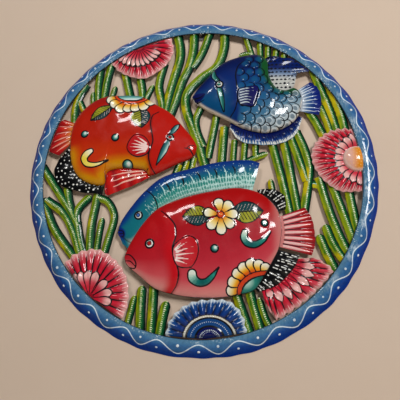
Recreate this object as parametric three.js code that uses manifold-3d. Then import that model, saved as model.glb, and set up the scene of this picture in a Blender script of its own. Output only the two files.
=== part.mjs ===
// Round wall plaque of painted sheet metal: four fish among sea weed, anemones and a scallop
// shell, inside a rolled rim that hangs on a nail.
//
// Every piece is cut from sheet, pressed from behind and painted. The pieces lie in three layers:
// ridged weed strands at the bottom, then fins, anemones and the shell on the strands, then the
// domed fish bodies on their fins. The rim's inner edge clamps whatever runs under it.
//
// Millimetres. X is to the viewer's right, Z is up and the front faces -Y. The origin is the place
// where the nail carries the hanging tab.

import * as THREE from "three";
import { mergeVertices } from "three/addons/utils/BufferGeometryUtils.js";
import Module from "manifold-3d";

const wasm = await Module();
wasm.setup();

// Rim
const PLAQUE_RADIUS = 300;
const RIM_WIDTH = 30;
const RIM_CREST = 15.8; // the rim's ridge in front of the wall
const RIM_SHEET = 1.2;
const HEM_WIDTH = 15; // turned in flat along the wall
const HAMMERED = 1.1; // how far the hammered outer edge strays from a true circle
const RIM_FACETS = 54;

// Sheet pieces
const STRAND_SHEET = 1.0;
const FIN_SHEET = 1.0;
const BODY_SHEET = 1.0;
const SEAT_GAP = 0.3; // left between two pieces that touch
const STRAND_BACK = 6; // the strands' back edges in front of the wall
const STRAND_RIDGE = 4.5; // depth of a strand from its back edges to its ridge
const TIP_LENGTH = 6; // rounded end of a strand that stops in the open
const ROOT_RIDGE = 1.6; // ridge of the flat bands that join the strands behind the figures
const TUCK = 8.5; // how far a fin runs in under the fish
const PLEAT = 2.2; // ridge of a fin's pleat
const FIN_CROWN = 2.5; // how far a fin swells between root and edge

// Relief of the figures above their own edges
const RED_FISH_RISE = 19;
const BLUE_FISH_RISE = 19;
const PINK_FISH_RISE = 22;
const TEAL_FISH_RISE = 9;
const ANEMONE_RISE = 6;
const SHELL_RISE = 7;
const PETAL_RISE = 2.4;
const PETAL_NOTCH = 2.2; // how far the outline draws in between two petals
const EYE_RADIUS = 22; // orange half dome in the middle of the right anemone
const EYE_RISE = 11;

// Hanging tab and its rivets
const TAB_WIDTH = 24;
const TAB_SHEET = 1.5;
const TAB_LENGTH = 30;
const NAIL_SLOT_RADIUS = 2.3;
const NAIL_HOLE_RADIUS = 4.6;
const NAIL_SLOT_LENGTH = 7;
const SLOT_MARGIN = 10; // metal between the slot and the tab's upper edge
const RIVET_RADIUS = 1.5;
const RIVET_HEAD_RADIUS = 3;
const RIVET_HEAD_DEPTH = 1.2;
const RIVET_SPREAD = 14;
const RIVET_MARGIN = 4; // from a rivet to the tab's upper edge
const RIVET_CLEARANCE = 0.35;

// Layers, worked out from the wall forwards
const RIM_OPENING = PLAQUE_RADIUS - RIM_WIDTH;
const STRAND_TOP = STRAND_BACK + STRAND_RIDGE;
const FIN_BACK = STRAND_TOP + SEAT_GAP;
const FIN_TOP = FIN_BACK + FIN_SHEET;
const BODY_BACK = FIN_TOP + SEAT_GAP;
const BODY_TOP = BODY_BACK + BODY_SHEET;
const LIP_BACK = BODY_BACK; // the rim's inner edge clears the fins by the same gap
const HIGH = FIN_TOP; // ridge of a strand where it meets a fish body or the rim
const LOW = STRAND_TOP; // ridge of a strand where a fin or an anemone lies on it
const FLAT = STRAND_BACK + ROOT_RIDGE;

// The picture is drawn on a stencil grid with 270 squares from the plaque's centre to the rim, so
// it grows with the rim. At the plaque's own size a square is one millimetre.
const SQUARE = RIM_OPENING / 270;
const STRAND_WIDTH = 16 * SQUARE;
const BROAD_STRAND_WIDTH = 18 * SQUARE;
const NARROW_STRAND_WIDTH = 14 * SQUARE;
const SHORT_STRAND_WIDTH = 12 * SQUARE;
const STRAND_STEP = 55 * SQUARE; // longest straight stretch of a bent strand

const PAINT = {
  rim: [0x1d4f96, 0.3],
  green: [0x2f7a35, 0.35],
  red: [0xa81712, 0.28],
  black: [0x17171a, 0.35],
  blue: [0x1b4a8c, 0.28],
  teal: [0x1f7f86, 0.3],
  pink: [0xb93040, 0.28],
  rose: [0xc8455a, 0.35],
  orange: [0xd98a1c, 0.35],
  shell: [0x16459a, 0.3],
  steel: [0x6d6f72, 0.5],
};

// Triangles without the slivers that appear where an edge shrinks to a point
function solid(corners, triangles) {
  const geometry = new THREE.BufferGeometry();
  geometry.setAttribute("position", new THREE.Float32BufferAttribute(corners.flat(), 3));
  geometry.setIndex(triangles.flat());
  return welded(geometry);
}

function welded(geometry) {
  const bare = geometry.clone();
  bare.deleteAttribute("normal");
  bare.deleteAttribute("uv");
  const merged = mergeVertices(bare, 1e-3);
  const position = merged.getAttribute("position");
  const index = merged.getIndex();
  const kept = [];
  let volume = 0;
  const [a, b, c] = [new THREE.Vector3(), new THREE.Vector3(), new THREE.Vector3()];
  for (let i = 0; i < index.count; i += 3) {
    const [p, q, r] = [index.getX(i), index.getX(i + 1), index.getX(i + 2)];
    if (p === q || q === r || r === p) continue;
    kept.push(p, q, r);
    a.fromBufferAttribute(position, p);
    b.fromBufferAttribute(position, q);
    c.fromBufferAttribute(position, r);
    volume += a.dot(b.cross(c));
  }
  merged.setIndex(volume < 0 ? kept.reverse() : kept);
  return merged;
}

function toManifold(geometry) {
  const clean = welded(geometry);
  return new wasm.Manifold(new wasm.Mesh({
    numProp: 3,
    vertProperties: new Float32Array(clean.getAttribute("position").array),
    triVerts: new Uint32Array(clean.getIndex().array),
  }));
}

function fromManifold(body) {
  const mesh = body.getMesh();
  const geometry = new THREE.BufferGeometry();
  geometry.setAttribute("position", new THREE.BufferAttribute(mesh.vertProperties, 3));
  geometry.setIndex(new THREE.BufferAttribute(mesh.triVerts, 1));
  return geometry;
}

function joined(geometries) {
  const bodies = geometries.map(toManifold);
  return fromManifold(bodies.reduce((whole, next) => whole.add(next)));
}

function cut(geometry, tools) {
  return fromManifold(tools.map(toManifold).reduce((left, tool) => left.subtract(tool),
    toManifold(geometry)));
}

// Smooth curve through stencil points, lying in the plaque's plane
function planCurve(points) {
  const places = points.map(([x, z]) => new THREE.Vector3(x * SQUARE, 0, z * SQUARE));
  return new THREE.CatmullRomCurve3(places, false, "centripetal");
}

// A piece of sheet stretched across two edges. Its front stands off the wall by
// front(u, w, place, i), with u along the edges and w from the first edge to the second. across(i)
// lists where the i-th cross line has its corners.
function ruledSheet({ first, second, across, front, sheet }) {
  const last = first.length - 1;
  const columns = across(0).length;
  const corners = [];
  for (let i = 0; i <= last; i += 1) {
    for (const w of across(i)) {
      const place = first[i].clone().lerp(second[i], w);
      const height = front(i / last, w, place, i);
      corners.push([place.x, -height, place.z], [place.x, sheet - height, place.z]);
    }
  }
  const corner = (i, j, back) => 2 * (i * columns + j) + back;
  const triangles = [];
  const quad = (a, b, c, d) => triangles.push([a, b, c], [a, c, d]);
  for (let i = 0; i < last; i += 1) {
    for (let j = 0; j < columns - 1; j += 1) {
      quad(corner(i, j, 0), corner(i + 1, j, 0), corner(i + 1, j + 1, 0), corner(i, j + 1, 0));
      quad(corner(i, j, 1), corner(i, j + 1, 1), corner(i + 1, j + 1, 1), corner(i + 1, j, 1));
    }
    quad(corner(i, 0, 0), corner(i, 0, 1), corner(i + 1, 0, 1), corner(i + 1, 0, 0));
    const j = columns - 1;
    quad(corner(i, j, 0), corner(i + 1, j, 0), corner(i + 1, j, 1), corner(i, j, 1));
  }
  for (let j = 0; j < columns - 1; j += 1) {
    quad(corner(0, j, 0), corner(0, j + 1, 0), corner(0, j + 1, 1), corner(0, j, 1));
    quad(corner(last, j, 0), corner(last, j, 1), corner(last, j + 1, 1), corner(last, j + 1, 0));
  }
  return solid(corners, triangles);
}

// Fins and anemones stop at the rim's inner edge, and their relief falls off towards it
const rimInside = RIM_OPENING * Math.cos(Math.PI / RIM_FACETS) - SEAT_GAP;

const insideRim = (places) => places.map((place) => place.clampLength(0, rimInside));

function nearRim(place, height) {
  return Math.min(height, FIN_TOP + Math.max(0, rimInside - place.length()));
}

// Weed strand: a strip folded to a ridge, narrow and low at an end that stops in the open
function strand(path, { width = STRAND_WIDTH, openStart = false, openEnd = false } = {}) {
  const places = path.map(([x, z, ridge = LOW]) => (
    new THREE.Vector3(x * SQUARE, ridge, z * SQUARE)));
  const spine = new THREE.CatmullRomCurve3(places, false, "centripetal");
  const spans = places.length - 1;
  const stations = [];
  for (let k = 0; k < spans; k += 1) {
    const pieces = Math.ceil(places[k].distanceTo(places[k + 1]) / STRAND_STEP);
    for (let j = 0; j < pieces; j += 1) stations.push([(k + j / pieces) / spans, 1]);
  }
  stations.push([1, 1]);
  const tip = TIP_LENGTH / spine.getLength();
  if (openStart) stations.splice(0, 1, [0, 0.35], [tip, 0.9]);
  if (openEnd) stations.splice(-1, 1, [1 - tip, 0.9], [1, 0.35]);
  const left = [];
  const right = [];
  const ridges = [];
  for (const [t, share] of stations) {
    const centre = spine.getPoint(t);
    const along = spine.getTangent(t);
    const side = new THREE.Vector3(-along.z, 0, along.x).normalize();
    const half = share * width / 2;
    ridges.push(STRAND_BACK + STRAND_SHEET + share * (centre.y - STRAND_BACK - STRAND_SHEET));
    centre.y = 0;
    left.push(centre.clone().addScaledVector(side, half));
    right.push(centre.clone().addScaledVector(side, -half));
  }
  return ruledSheet({
    first: left,
    second: right,
    across: () => [0, 0.5, 1],
    front: (u, w, place, i) => (w === 0.5 ? ridges[i] : STRAND_BACK + STRAND_SHEET),
    sheet: STRAND_SHEET,
  });
}

const shortStrand = (path, ends) => strand(path, { width: SHORT_STRAND_WIDTH, ...ends });

// Flat band behind the figures, from which a clump's strands were cut
const rootBand = (path) => shortStrand(path.map(([x, z]) => [x, z, FLAT]));

// Fish body: a hollow shell domed over its back and belly lines, which meet at mouth and tail
function fishBody({ back, belly, rise, stations = 14 }) {
  const columns = 8;
  const across = Array.from({ length: columns + 1 },
    (_, j) => (1 - Math.cos(Math.PI * j / columns)) / 2);
  return ruledSheet({
    first: planCurve(back).getSpacedPoints(stations),
    second: planCurve(belly).getSpacedPoints(stations),
    across: () => across,
    front: (u, w) => {
      const girth = Math.sin(Math.PI * Math.min(1, Math.max(0, u))) ** 0.55;
      const arch = Math.sqrt(Math.max(0, 4 * w * (1 - w))) ** 0.85;
      return BODY_TOP + rise * girth * arch;
    },
    sheet: BODY_SHEET,
  });
}

// Fin: pleated from root to edge, with its root flat where it runs in under the fish
function pleatedFin({ root, edge, pleats, crown = FIN_CROWN }) {
  const stations = 2 * pleats;
  const first = planCurve(root).getPoints(stations);
  const second = insideRim(planCurve(edge).getPoints(stations));
  const tuck = (i) => Math.min(0.6, TUCK / first[i].distanceTo(second[i]));
  return ruledSheet({
    first,
    second,
    across: (i) => [0, tuck(i), (1 + tuck(i)) / 2, 1],
    front: (u, w, place, i) => {
      const shown = Math.max(0, w - tuck(i)) / (1 - tuck(i));
      const swell = crown * Math.sin(Math.PI * shown) * Math.sin(Math.PI * u);
      const ridge = i % 2 ? PLEAT * Math.min(1, shown * 1.4) : 0;
      return nearRim(place, FIN_TOP + swell + ridge);
    },
    sheet: FIN_SHEET,
  });
}

// Anemone or shell: a fan of petals that spread from a point under the rim, or from a line of
// roots that a fin covers
function petalFan({ centre, roots, outline, petals, rise, flatTo = 0.12 }) {
  const stations = 2 * petals;
  const rimmed = insideRim(planCurve(outline).getSpacedPoints(stations));
  const first = insideRim(roots
    ? planCurve(roots).getSpacedPoints(stations)
    : rimmed.map(() => new THREE.Vector3(centre[0] * SQUARE, 0, centre[1] * SQUARE)));
  const level = roots ? LOW : FIN_TOP;
  const second = rimmed.map((place, i) => {
    const ray = place.clone().sub(first[i]);
    const notch = i % 2 ? 0 : PETAL_NOTCH;
    return first[i].clone().addScaledVector(ray, 1 - notch / ray.length());
  });
  return ruledSheet({
    first,
    second,
    across: () => [0, flatTo, 0.55, 0.82, 1],
    front: (u, w, place, i) => {
      const shown = Math.max(0, w - flatTo) / (1 - flatTo);
      const swell = rise * Math.sin(Math.PI * shown) ** 0.8;
      const ridge = i % 2 ? PETAL_RISE * Math.min(1, shown * 1.3) : 0;
      const lift = i === 0 ? 0 : (FIN_TOP - level) * Math.min(1, 3 * shown);
      return nearRim(place, level + lift + (i === 0 && roots ? 0 : swell + ridge));
    },
    sheet: FIN_SHEET,
  });
}

// Half dome whose flat side butts against the rim's inner edge
function halfDome([x, z]) {
  const middle = new THREE.Vector3(x * SQUARE, 0, z * SQUARE);
  const hub = middle.clone().setLength(rimInside);
  const outwards = Math.atan2(middle.z, middle.x);
  const distance = middle.length();
  const opening = Math.acos((rimInside ** 2 - distance ** 2 - EYE_RADIUS ** 2)
    / (2 * distance * EYE_RADIUS));
  const stations = 12;
  const second = Array.from({ length: stations + 1 }, (_, i) => {
    const turn = outwards + opening + (2 * Math.PI - 2 * opening) * i / stations;
    return new THREE.Vector3(Math.cos(turn), 0, Math.sin(turn))
      .multiplyScalar(EYE_RADIUS).add(middle);
  });
  return ruledSheet({
    first: second.map(() => hub),
    second,
    across: () => [0, 0.5, 0.85, 1],
    front: (u, w, place) => {
      const share = Math.min(1, place.distanceTo(middle) / EYE_RADIUS);
      return BODY_TOP + EYE_RISE * Math.sqrt(1 - share ** 2);
    },
    sheet: BODY_SHEET,
  });
}

const plaque = new THREE.Group();

function add(name, [color, roughness], geometry) {
  const material = new THREE.MeshStandardMaterial({ color, roughness, metalness: 0.1 });
  const piece = new THREE.Mesh(geometry, material);
  piece.name = name;
  plaque.add(piece);
  return piece;
}

// Rim: one strip rolled to a ring. Its section runs from the inner lip over the ridge, slopes back
// to the wall and ends in a hem that lies flat on the wall. The hammered edge is symmetrical about
// the top, so the facet that carries the hanging tab is square to the plaque.
function hammered(angle) {
  return HAMMERED * (Math.cos(5 * angle) + 0.6 * Math.cos(11 * angle)) / 1.6;
}

function stretched(radius, angle) {
  return radius + hammered(angle) * (radius - RIM_OPENING) / RIM_WIDTH;
}

// Shares of the rim's width and of its crest, from the ridge outwards to the wall
const RIM_SLOPE = [[0.15, 0.95], [0.33, 1], [0.55, 0.85], [0.75, 0.5], [0.9, 0.22]];

function rimSection() {
  const slope = RIM_SLOPE.map(([out, up]) => [RIM_OPENING + RIM_WIDTH * out, RIM_CREST * up]);
  const underside = slope.slice(0, -1).map(([r, height], i) => {
    const lean = RIM_SLOPE[i][0] < 0.3 ? 0.3 : -0.75 * (1 - RIM_SLOPE[i][1]) - 0.1;
    return [r + lean * RIM_SHEET, height - RIM_SHEET];
  });
  const section = [
    [RIM_OPENING, LIP_BACK + RIM_SHEET],
    ...slope,
    [PLAQUE_RADIUS, RIM_SHEET / 2],
    [PLAQUE_RADIUS - RIM_SHEET / 2, 0],
    [PLAQUE_RADIUS - HEM_WIDTH, 0],
    [PLAQUE_RADIUS - HEM_WIDTH, RIM_SHEET],
    [PLAQUE_RADIUS - 2.2 * RIM_SHEET, RIM_SHEET],
    ...underside.reverse(),
    [RIM_OPENING, LIP_BACK],
  ];
  section.push(section[0]);
  return section.map(([r, height]) => new THREE.Vector2(r, -height));
}

// The hanging tab lies on the hem behind the top facet
const halfFacet = Math.PI / RIM_FACETS;
const tabTop = (PLAQUE_RADIUS - 5 * RIM_SHEET) * Math.cos(halfFacet);
const tabBack = RIM_SHEET + SEAT_GAP;
const tabFront = tabBack + TAB_SHEET;
const nailSeat = tabTop - SLOT_MARGIN;
const rivetLevel = tabTop - RIVET_MARGIN;

// Turned profile of a rivet, from its flush head in the hem to its head on the tab
function rivetBody(side, grown) {
  const profile = [
    [0, grown ? -RIM_SHEET : 0.1],
    [RIVET_HEAD_RADIUS + grown, grown ? -RIM_SHEET : 0.1],
    [RIVET_HEAD_RADIUS + grown, 0.1],
    [RIVET_RADIUS + grown, RIM_SHEET],
    [RIVET_RADIUS + grown, tabFront + SEAT_GAP],
    [grown ? RIVET_RADIUS + grown : RIVET_HEAD_RADIUS, tabFront + SEAT_GAP],
    [grown ? RIVET_RADIUS + grown : 0.6 * RIVET_HEAD_RADIUS,
      tabFront + SEAT_GAP + RIVET_HEAD_DEPTH],
    [0, tabFront + SEAT_GAP + RIVET_HEAD_DEPTH],
  ];
  const body = new THREE.LatheGeometry(profile.map(([r, y]) => new THREE.Vector2(r, -y)), 10);
  return body.translate(side * RIVET_SPREAD / 2, 0, rivetLevel);
}

const rivetHoles = () => [rivetBody(-1, RIVET_CLEARANCE), rivetBody(1, RIVET_CLEARANCE)];

function rimRing() {
  const ring = new THREE.LatheGeometry(rimSection(), RIM_FACETS, halfFacet);
  const position = ring.getAttribute("position");
  for (let i = 0; i < position.count; i += 1) {
    const [x, z] = [position.getX(i), position.getZ(i)];
    const radius = Math.hypot(x, z);
    const grown = stretched(radius, Math.atan2(x, z)) / radius;
    position.setX(i, x * grown);
    position.setZ(i, z * grown);
  }
  return cut(ring, rivetHoles());
}

// Hanging tab: a plate of thicker sheet on the hem at the top, with a keyhole for the nail
function keyhole() {
  const slotCentre = nailSeat - NAIL_SLOT_RADIUS;
  const holeCentre = slotCentre - NAIL_SLOT_LENGTH;
  const corner = Math.acos(NAIL_SLOT_RADIUS / NAIL_HOLE_RADIUS);
  const shape = new THREE.Shape();
  shape.absarc(0, slotCentre, NAIL_SLOT_RADIUS, Math.PI, 0, true);
  shape.absarc(0, holeCentre, NAIL_HOLE_RADIUS, corner, Math.PI - corner, true);
  shape.closePath();
  return shape;
}

// Flat shape drawn in the plaque's plane, pushed out from one height to another
function plate(shape, from, to) {
  const options = { depth: to - from, bevelEnabled: false, curveSegments: 5 };
  const body = new THREE.ExtrudeGeometry(shape, options);
  body.rotateX(Math.PI / 2);
  return body.translate(0, -from, 0);
}

function hangingTab() {
  const [half, low] = [TAB_WIDTH / 2, tabTop - TAB_LENGTH];
  const outline = new THREE.Shape([
    [-half, tabTop],
    [-half, low + half / 2],
    [-half / 2, low],
    [half / 2, low],
    [half, low + half / 2],
    [half, tabTop],
  ].map(([x, z]) => new THREE.Vector2(x, z)));
  return cut(plate(outline, tabBack, tabFront), [plate(keyhole(), 0, 2 * tabFront), ...rivetHoles()]);
}

add("rim_ring", PAINT.rim, rimRing());
add("hanging_tab", PAINT.steel, hangingTab());
add("tab_rivet_left", PAINT.steel, welded(rivetBody(-1, 0)));
add("tab_rivet_right", PAINT.steel, welded(rivetBody(1, 0)));

// Weed clumps. Each strand is a list of stencil points with the height of its ridge there, LOW
// where nothing is given.
add("upper_left_weeds", PAINT.green, joined([
  strand([[-208, 174], [-219, 154], [-226, 130], [-225, 86]]),
  shortStrand([[-219, 140], [-211, 124], [-200, 106]]),
  strand([[-184, 206, HIGH], [-186, 172], [-184, 130, HIGH]]),
  strand([[-162, 222], [-170, 183], [-175, 140], [-177, 126, HIGH]]),
  shortStrand([[-196, 159], [-192, 122, HIGH]], { openStart: true }),
  shortStrand([[-154, 169], [-161, 140], [-163, 130, HIGH]], { openStart: true }),
  rootBand([[-200, 98], [-186, 124], [-160, 132]]),
]));

add("upper_anemone_weeds", PAINT.green, joined([
  strand([[-138, 198], [-130, 165], [-121, 130, HIGH]]),
  strand([[-110, 192], [-104, 160], [-101, 126, HIGH]]),
  shortStrand([[-84, 169], [-95, 144], [-101, 126, HIGH]], { openStart: true }),
  rootBand([[-128, 132], [-94, 128]]),
]));

add("top_weeds", PAINT.green, joined([
  strand([[-64, 212], [-73, 165], [-66, 128], [-66, 112, HIGH]]),
  strand([[-41, 276], [-35, 245], [-35, 222], [-44, 187], [-53, 150], [-60, 110, HIGH]],
    { width: BROAD_STRAND_WIDTH }),
  strand([[-9, 278, HIGH], [-10, 240], [-17, 205], [-30, 175], [-42, 135], [-54, 100, HIGH]],
    { width: BROAD_STRAND_WIDTH }),
  strand([[22, 276, HIGH], [4, 227], [-12, 202]]),
  strand([[48, 275, HIGH], [47, 240], [33, 203], [2, 178], [-22, 148], [-23, 120], [-12, 85],
    [0, 50], [12, 6]], { width: BROAD_STRAND_WIDTH }),
  strand([[8, 128, HIGH], [-5, 98], [-3, 75], [8, 46]], { width: NARROW_STRAND_WIDTH }),
  strand([[33, 114, HIGH], [28, 85], [20, 45], [16, 24]], { width: NARROW_STRAND_WIDTH }),
  strand([[45, 82], [42, 50], [38, 6]]),
  shortStrand([[-42, -6], [-34, 14]]),
  shortStrand([[-28, -2], [-21, 20]]),
  shortStrand([[-14, 2], [-9, 26]]),
  shortStrand([[62, 56], [58, 14]]),
  shortStrand([[80, 52], [76, 12]]),
  shortStrand([[98, 54], [97, 24]]),
  shortStrand([[72, 12], [95, 23], [117, 31]], { openEnd: true }),
  rootBand([[-46, -8], [0, 3], [50, 9], [82, 10]]),
]));

add("crown_weeds", PAINT.green, joined([
  shortStrand([[87, 263, HIGH], [93, 240], [101, 210, HIGH]]),
  shortStrand([[113, 255, HIGH], [113, 230], [113, 206, HIGH]]),
  shortStrand([[128, 248], [125, 200]]),
  shortStrand([[143, 239], [138, 200]]),
  shortStrand([[158, 229], [151, 198]]),
  shortStrand([[74, 223], [92, 226], [98, 220]], { openStart: true }),
  rootBand([[98, 208], [124, 206], [154, 200]]),
]));

add("upper_right_weeds", PAINT.green, joined([
  strand([[204, 189], [216, 147], [226, 115], [238, 62]]),
  strand([[230, 155, HIGH], [238, 130], [247, 95], [251, 62]]),
  strand([[190, 110], [201, 90], [215, 56]]),
  strand([[212, 116], [221, 88], [228, 58]], { width: NARROW_STRAND_WIDTH }),
]));

add("right_weeds", PAINT.green, joined([
  strand([[124, 58], [132, 20], [140, -20], [150, -77]]),
  shortStrand([[120, -16], [124, -46]], { openStart: true }),
  rootBand([[121, -48], [147, -54]]),
  strand([[145, 58], [150, 25], [163, -78]]),
  strand([[158, 60], [168, 25], [180, -20]]),
  strand([[168, 70], [179, 40], [186, 5], [183, -20], [171, -78]]),
  strand([[176, -24], [190, -25], [208, -30]], { width: NARROW_STRAND_WIDTH }),
  strand([[200, -14], [214, -77], [232, -130], [240, -146, HIGH]]),
  strand([[219, -22], [234, -75], [246, -120], [248, -130, HIGH]]),
  strand([[246, -28], [250, -70], [255, -113, HIGH]]),
  strand([[204, -94], [214, -125], [232, -157, HIGH]], { openStart: true }),
  strand([[193, -110], [203, -140], [217, -172]], { openStart: true }),
]));

add("left_weeds", PAINT.green, joined([
  strand([[-277, 16, HIGH], [-250, -22], [-225, -57], [-204, -90]]),
  strand([[-230, -8], [-224, -45], [-213, -78]]),
  strand([[-272, -44], [-260, -66], [-243, -98], [-206, -144]]),
  strand([[-264, -45], [-232, -68], [-212, -100], [-196, -142]]),
  strand([[-186, -39], [-207, -66], [-203, -100], [-190, -142]], { openStart: true }),
  strand([[-172, -22], [-176, -55], [-181, -95], [-180, -144]]),
  shortStrand([[-163, -78], [-167, -110], [-170, -144]], { openStart: true }),
  strand([[-174, -42], [-156, -50], [-143, -75], [-150, -112], [-158, -146]],
    { width: NARROW_STRAND_WIDTH }),
  rootBand([[-200, -150], [-158, -150]]),
]));

add("lower_left_weeds", PAINT.green, joined([
  shortStrand([[-102, -205], [-107, -228], [-113, -253]], { openStart: true }),
  strand([[-91, -190], [-92, -225], [-92, -261, HIGH]], { openStart: true }),
  strand([[-72, -186, HIGH], [-73, -225], [-75, -268, HIGH]]),
  strand([[-51, -214], [-57, -240], [-62, -271, HIGH]], { openStart: true }),
  rootBand([[-113, -253], [-88, -263], [-62, -271]]),
]));

add("lower_right_weeds", PAINT.green, joined([
  strand([[57, -196, HIGH], [66, -225], [80, -266]]),
  strand([[77, -188], [86, -225], [96, -261, HIGH]]),
  shortStrand([[94, -209], [101, -235], [111, -256, HIGH]], { openStart: true }),
  rootBand([[80, -266], [96, -261], [111, -255]]),
]));

// Red fish, swimming to the right
add("red_fish_body", PAINT.red, fishBody({
  back: [[-3, 44], [-8, 55], [-28, 82], [-50, 108], [-79, 127], [-101, 141], [-140, 145],
    [-173, 143], [-202, 125], [-222, 94], [-223, 63]],
  belly: [[-3, 44], [-5, 33], [-10, 25], [-36, 13], [-84, -7], [-91, 2], [-104, 6], [-145, 6],
    [-158, 0], [-163, -21], [-190, -18], [-212, -2], [-223, 24], [-223, 63]],
  rise: RED_FISH_RISE,
}));

add("red_fish_tail_fin", PAINT.red, pleatedFin({
  root: [[-215, 92], [-216, 85], [-217, 78], [-218, 71], [-219, 64]],
  edge: [[-243, 103], [-257, 90], [-266, 66], [-266, 44], [-247, 34]],
  pleats: 5,
}));

add("red_fish_dotted_fin", PAINT.black, pleatedFin({
  root: [[-219, 50], [-217, 35], [-211, 12], [-197, -5], [-182, -12], [-168, -14]],
  edge: [[-226, 50], [-241, 33], [-252, 8], [-243, -17], [-205, -33], [-165, -38]],
  pleats: 6,
}));

add("red_fish_belly_fin", PAINT.red, pleatedFin({
  root: [[-160, -24], [-162, -3], [-151, 10], [-122, 12], [-99, 13], [-80, -1]],
  edge: [[-161, -32], [-156, -40], [-136, -33], [-115, -25], [-98, -17], [-84, -10]],
  pleats: 5,
}));

// Blue fish, swimming to the left
add("blue_fish_body", PAINT.blue, fishBody({
  back: [[-12, 138], [-4, 150], [11, 169], [42, 202], [84, 217], [110, 217], [123, 205],
    [124, 178], [136, 151], [152, 145], [168, 149], [178, 138], [180, 121]],
  belly: [[-12, 138], [-6, 127], [11, 113], [46, 93], [80, 74], [119, 66], [154, 78], [171, 94],
    [180, 121]],
  rise: BLUE_FISH_RISE,
}));

add("blue_fish_back_fin", PAINT.blue, pleatedFin({
  root: [[116, 209], [116, 195], [116, 182], [119, 170], [127, 156], [139, 145], [156, 139]],
  edge: [[126, 216], [150, 213], [180, 203], [197, 184], [176, 178], [172, 166], [169, 154]],
  pleats: 6,
}));

add("blue_fish_tail_fin", PAINT.blue, pleatedFin({
  root: [[170, 143], [172, 133], [172, 121], [170, 107]],
  edge: [[197, 161], [210, 147], [213, 121], [208, 97]],
  pleats: 6,
}));

add("blue_fish_lower_fin", PAINT.blue, pleatedFin({
  root: [[56, 95], [84, 81], [118, 73], [150, 85], [168, 101]],
  edge: [[54, 76], [71, 53], [115, 44], [145, 48], [165, 61], [179, 92]],
  pleats: 8,
}));

// Teal fish, half hidden behind the pink one: its lower edge runs in flat under the pink fish
function hiddenFish({ back, hidden, rise, cover, stations = 14 }) {
  const first = planCurve(back).getSpacedPoints(stations);
  const second = planCurve(hidden).getSpacedPoints(stations);
  const seen = (i) => Math.max(0.4, 1 - cover / first[i].distanceTo(second[i]));
  return ruledSheet({
    first,
    second,
    across: (i) => [...[0, 0.07, 0.22, 0.45, 0.7, 0.88, 1].map((w) => w * seen(i)), 1],
    front: (u, w, place, i) => {
      const girth = Math.sin(Math.PI * (0.04 + 0.92 * u)) ** 0.5;
      const shown = Math.min(1, w / seen(i));
      const arch = Math.sqrt(Math.max(0, 4 * shown * (1 - shown))) ** 0.85;
      return FIN_TOP + rise * girth * arch;
    },
    sheet: FIN_SHEET,
  });
}

add("teal_fish_body", PAINT.teal, hiddenFish({
  back: [[-134, -104], [-130, -88], [-112, -59], [-91, -34], [-63, -11], [-15, 4], [36, 15],
    [87, 17], [103, 12]],
  hidden: [[-125, -123], [-104, -137], [-78, -106], [-55, -81], [-25, -63], [20, -51], [54, -45],
    [80, -41], [88, -41]],
  rise: TEAL_FISH_RISE,
  cover: 27,
}));

// Pink fish, the largest, swimming to the left
add("pink_fish_body", PAINT.pink, fishBody({
  back: [[-121, -145], [-114, -127], [-92, -90], [-68, -65], [-31, -49], [19, -37], [69, -32],
    [105, -44], [128, -70], [134, -103]],
  belly: [[-121, -145], [-117, -156], [-94, -176], [-69, -195], [-29, -206], [25, -209],
    [60, -205], [88, -196], [101, -178], [116, -154], [127, -134], [134, -103]],
  rise: PINK_FISH_RISE,
}));

add("pink_fish_tail_fin", PAINT.pink, pleatedFin({
  root: [[127, -82], [128, -95], [128, -107], [126, -119], [123, -128]],
  edge: [[172, -66], [182, -84], [185, -107], [184, -128], [178, -144]],
  pleats: 7,
}));

add("pink_fish_upper_fin", PAINT.black, pleatedFin({
  root: [[97, -47], [108, -52], [117, -61], [125, -74]],
  edge: [[97, -35], [124, -35], [141, -47], [142, -69]],
  pleats: 4,
}));

add("pink_fish_lower_fin", PAINT.black, pleatedFin({
  root: [[122, -133], [111, -151], [97, -172], [84, -190]],
  edge: [[159, -144], [149, -163], [122, -189], [92, -200]],
  pleats: 6,
}));

// Anemones and scallop shell, which grow from the rim
add("upper_left_anemone", PAINT.rose, petalFan({
  centre: [-113, 247],
  outline: [[-165, 216], [-151, 198], [-127, 184], [-99, 179], [-76, 191], [-56, 210],
    [-46, 235], [-52, 267]],
  petals: 13,
  rise: ANEMONE_RISE,
}));

add("right_anemone", PAINT.rose, petalFan({
  centre: [272, 14],
  outline: [[266, 67], [249, 71], [224, 67], [201, 51], [189, 28], [191, 4], [205, -21],
    [231, -41], [266, -42]],
  petals: 18,
  rise: ANEMONE_RISE,
  flatTo: 0.42,
}));

add("right_anemone_eye", PAINT.orange, halfDome([262, 15]));

add("lower_left_anemone", PAINT.rose, petalFan({
  centre: [-176, -208],
  outline: [[-223, -158], [-208, -141], [-190, -133], [-165, -131], [-135, -148], [-116, -174],
    [-110, -203], [-113, -228], [-122, -244]],
  petals: 13,
  rise: ANEMONE_RISE,
}));

add("lower_right_anemone", PAINT.rose, petalFan({
  roots: [[157, -149], [151, -158], [141, -170], [128, -180], [113, -188], [97, -194]],
  outline: [[185, -147], [206, -162], [213, -175], [194, -197], [162, -223], [126, -245],
    [103, -222]],
  petals: 12,
  rise: ANEMONE_RISE,
}));

add("scallop_shell", PAINT.shell, petalFan({
  centre: [10, -272],
  outline: [[-52, -268], [-48, -247], [-33, -227], [-10, -214], [20, -210], [48, -213],
    [66, -230], [73, -252], [74, -264]],
  petals: 12,
  rise: SHELL_RISE,
}));

// The plaque hangs with the origin where the slot's upper end rests on the nail
plaque.position.set(0, tabBack + TAB_SHEET / 2, -nailSeat);

export default plaque;
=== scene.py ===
"""A round wall plaque of painted sheet metal on a pale wall: four fish among sea weed, anemones and
a scallop shell, inside a rolled rim. Lengths in the lists are millimetres on the plaque."""

from math import cos, pi, radians, sin

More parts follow.
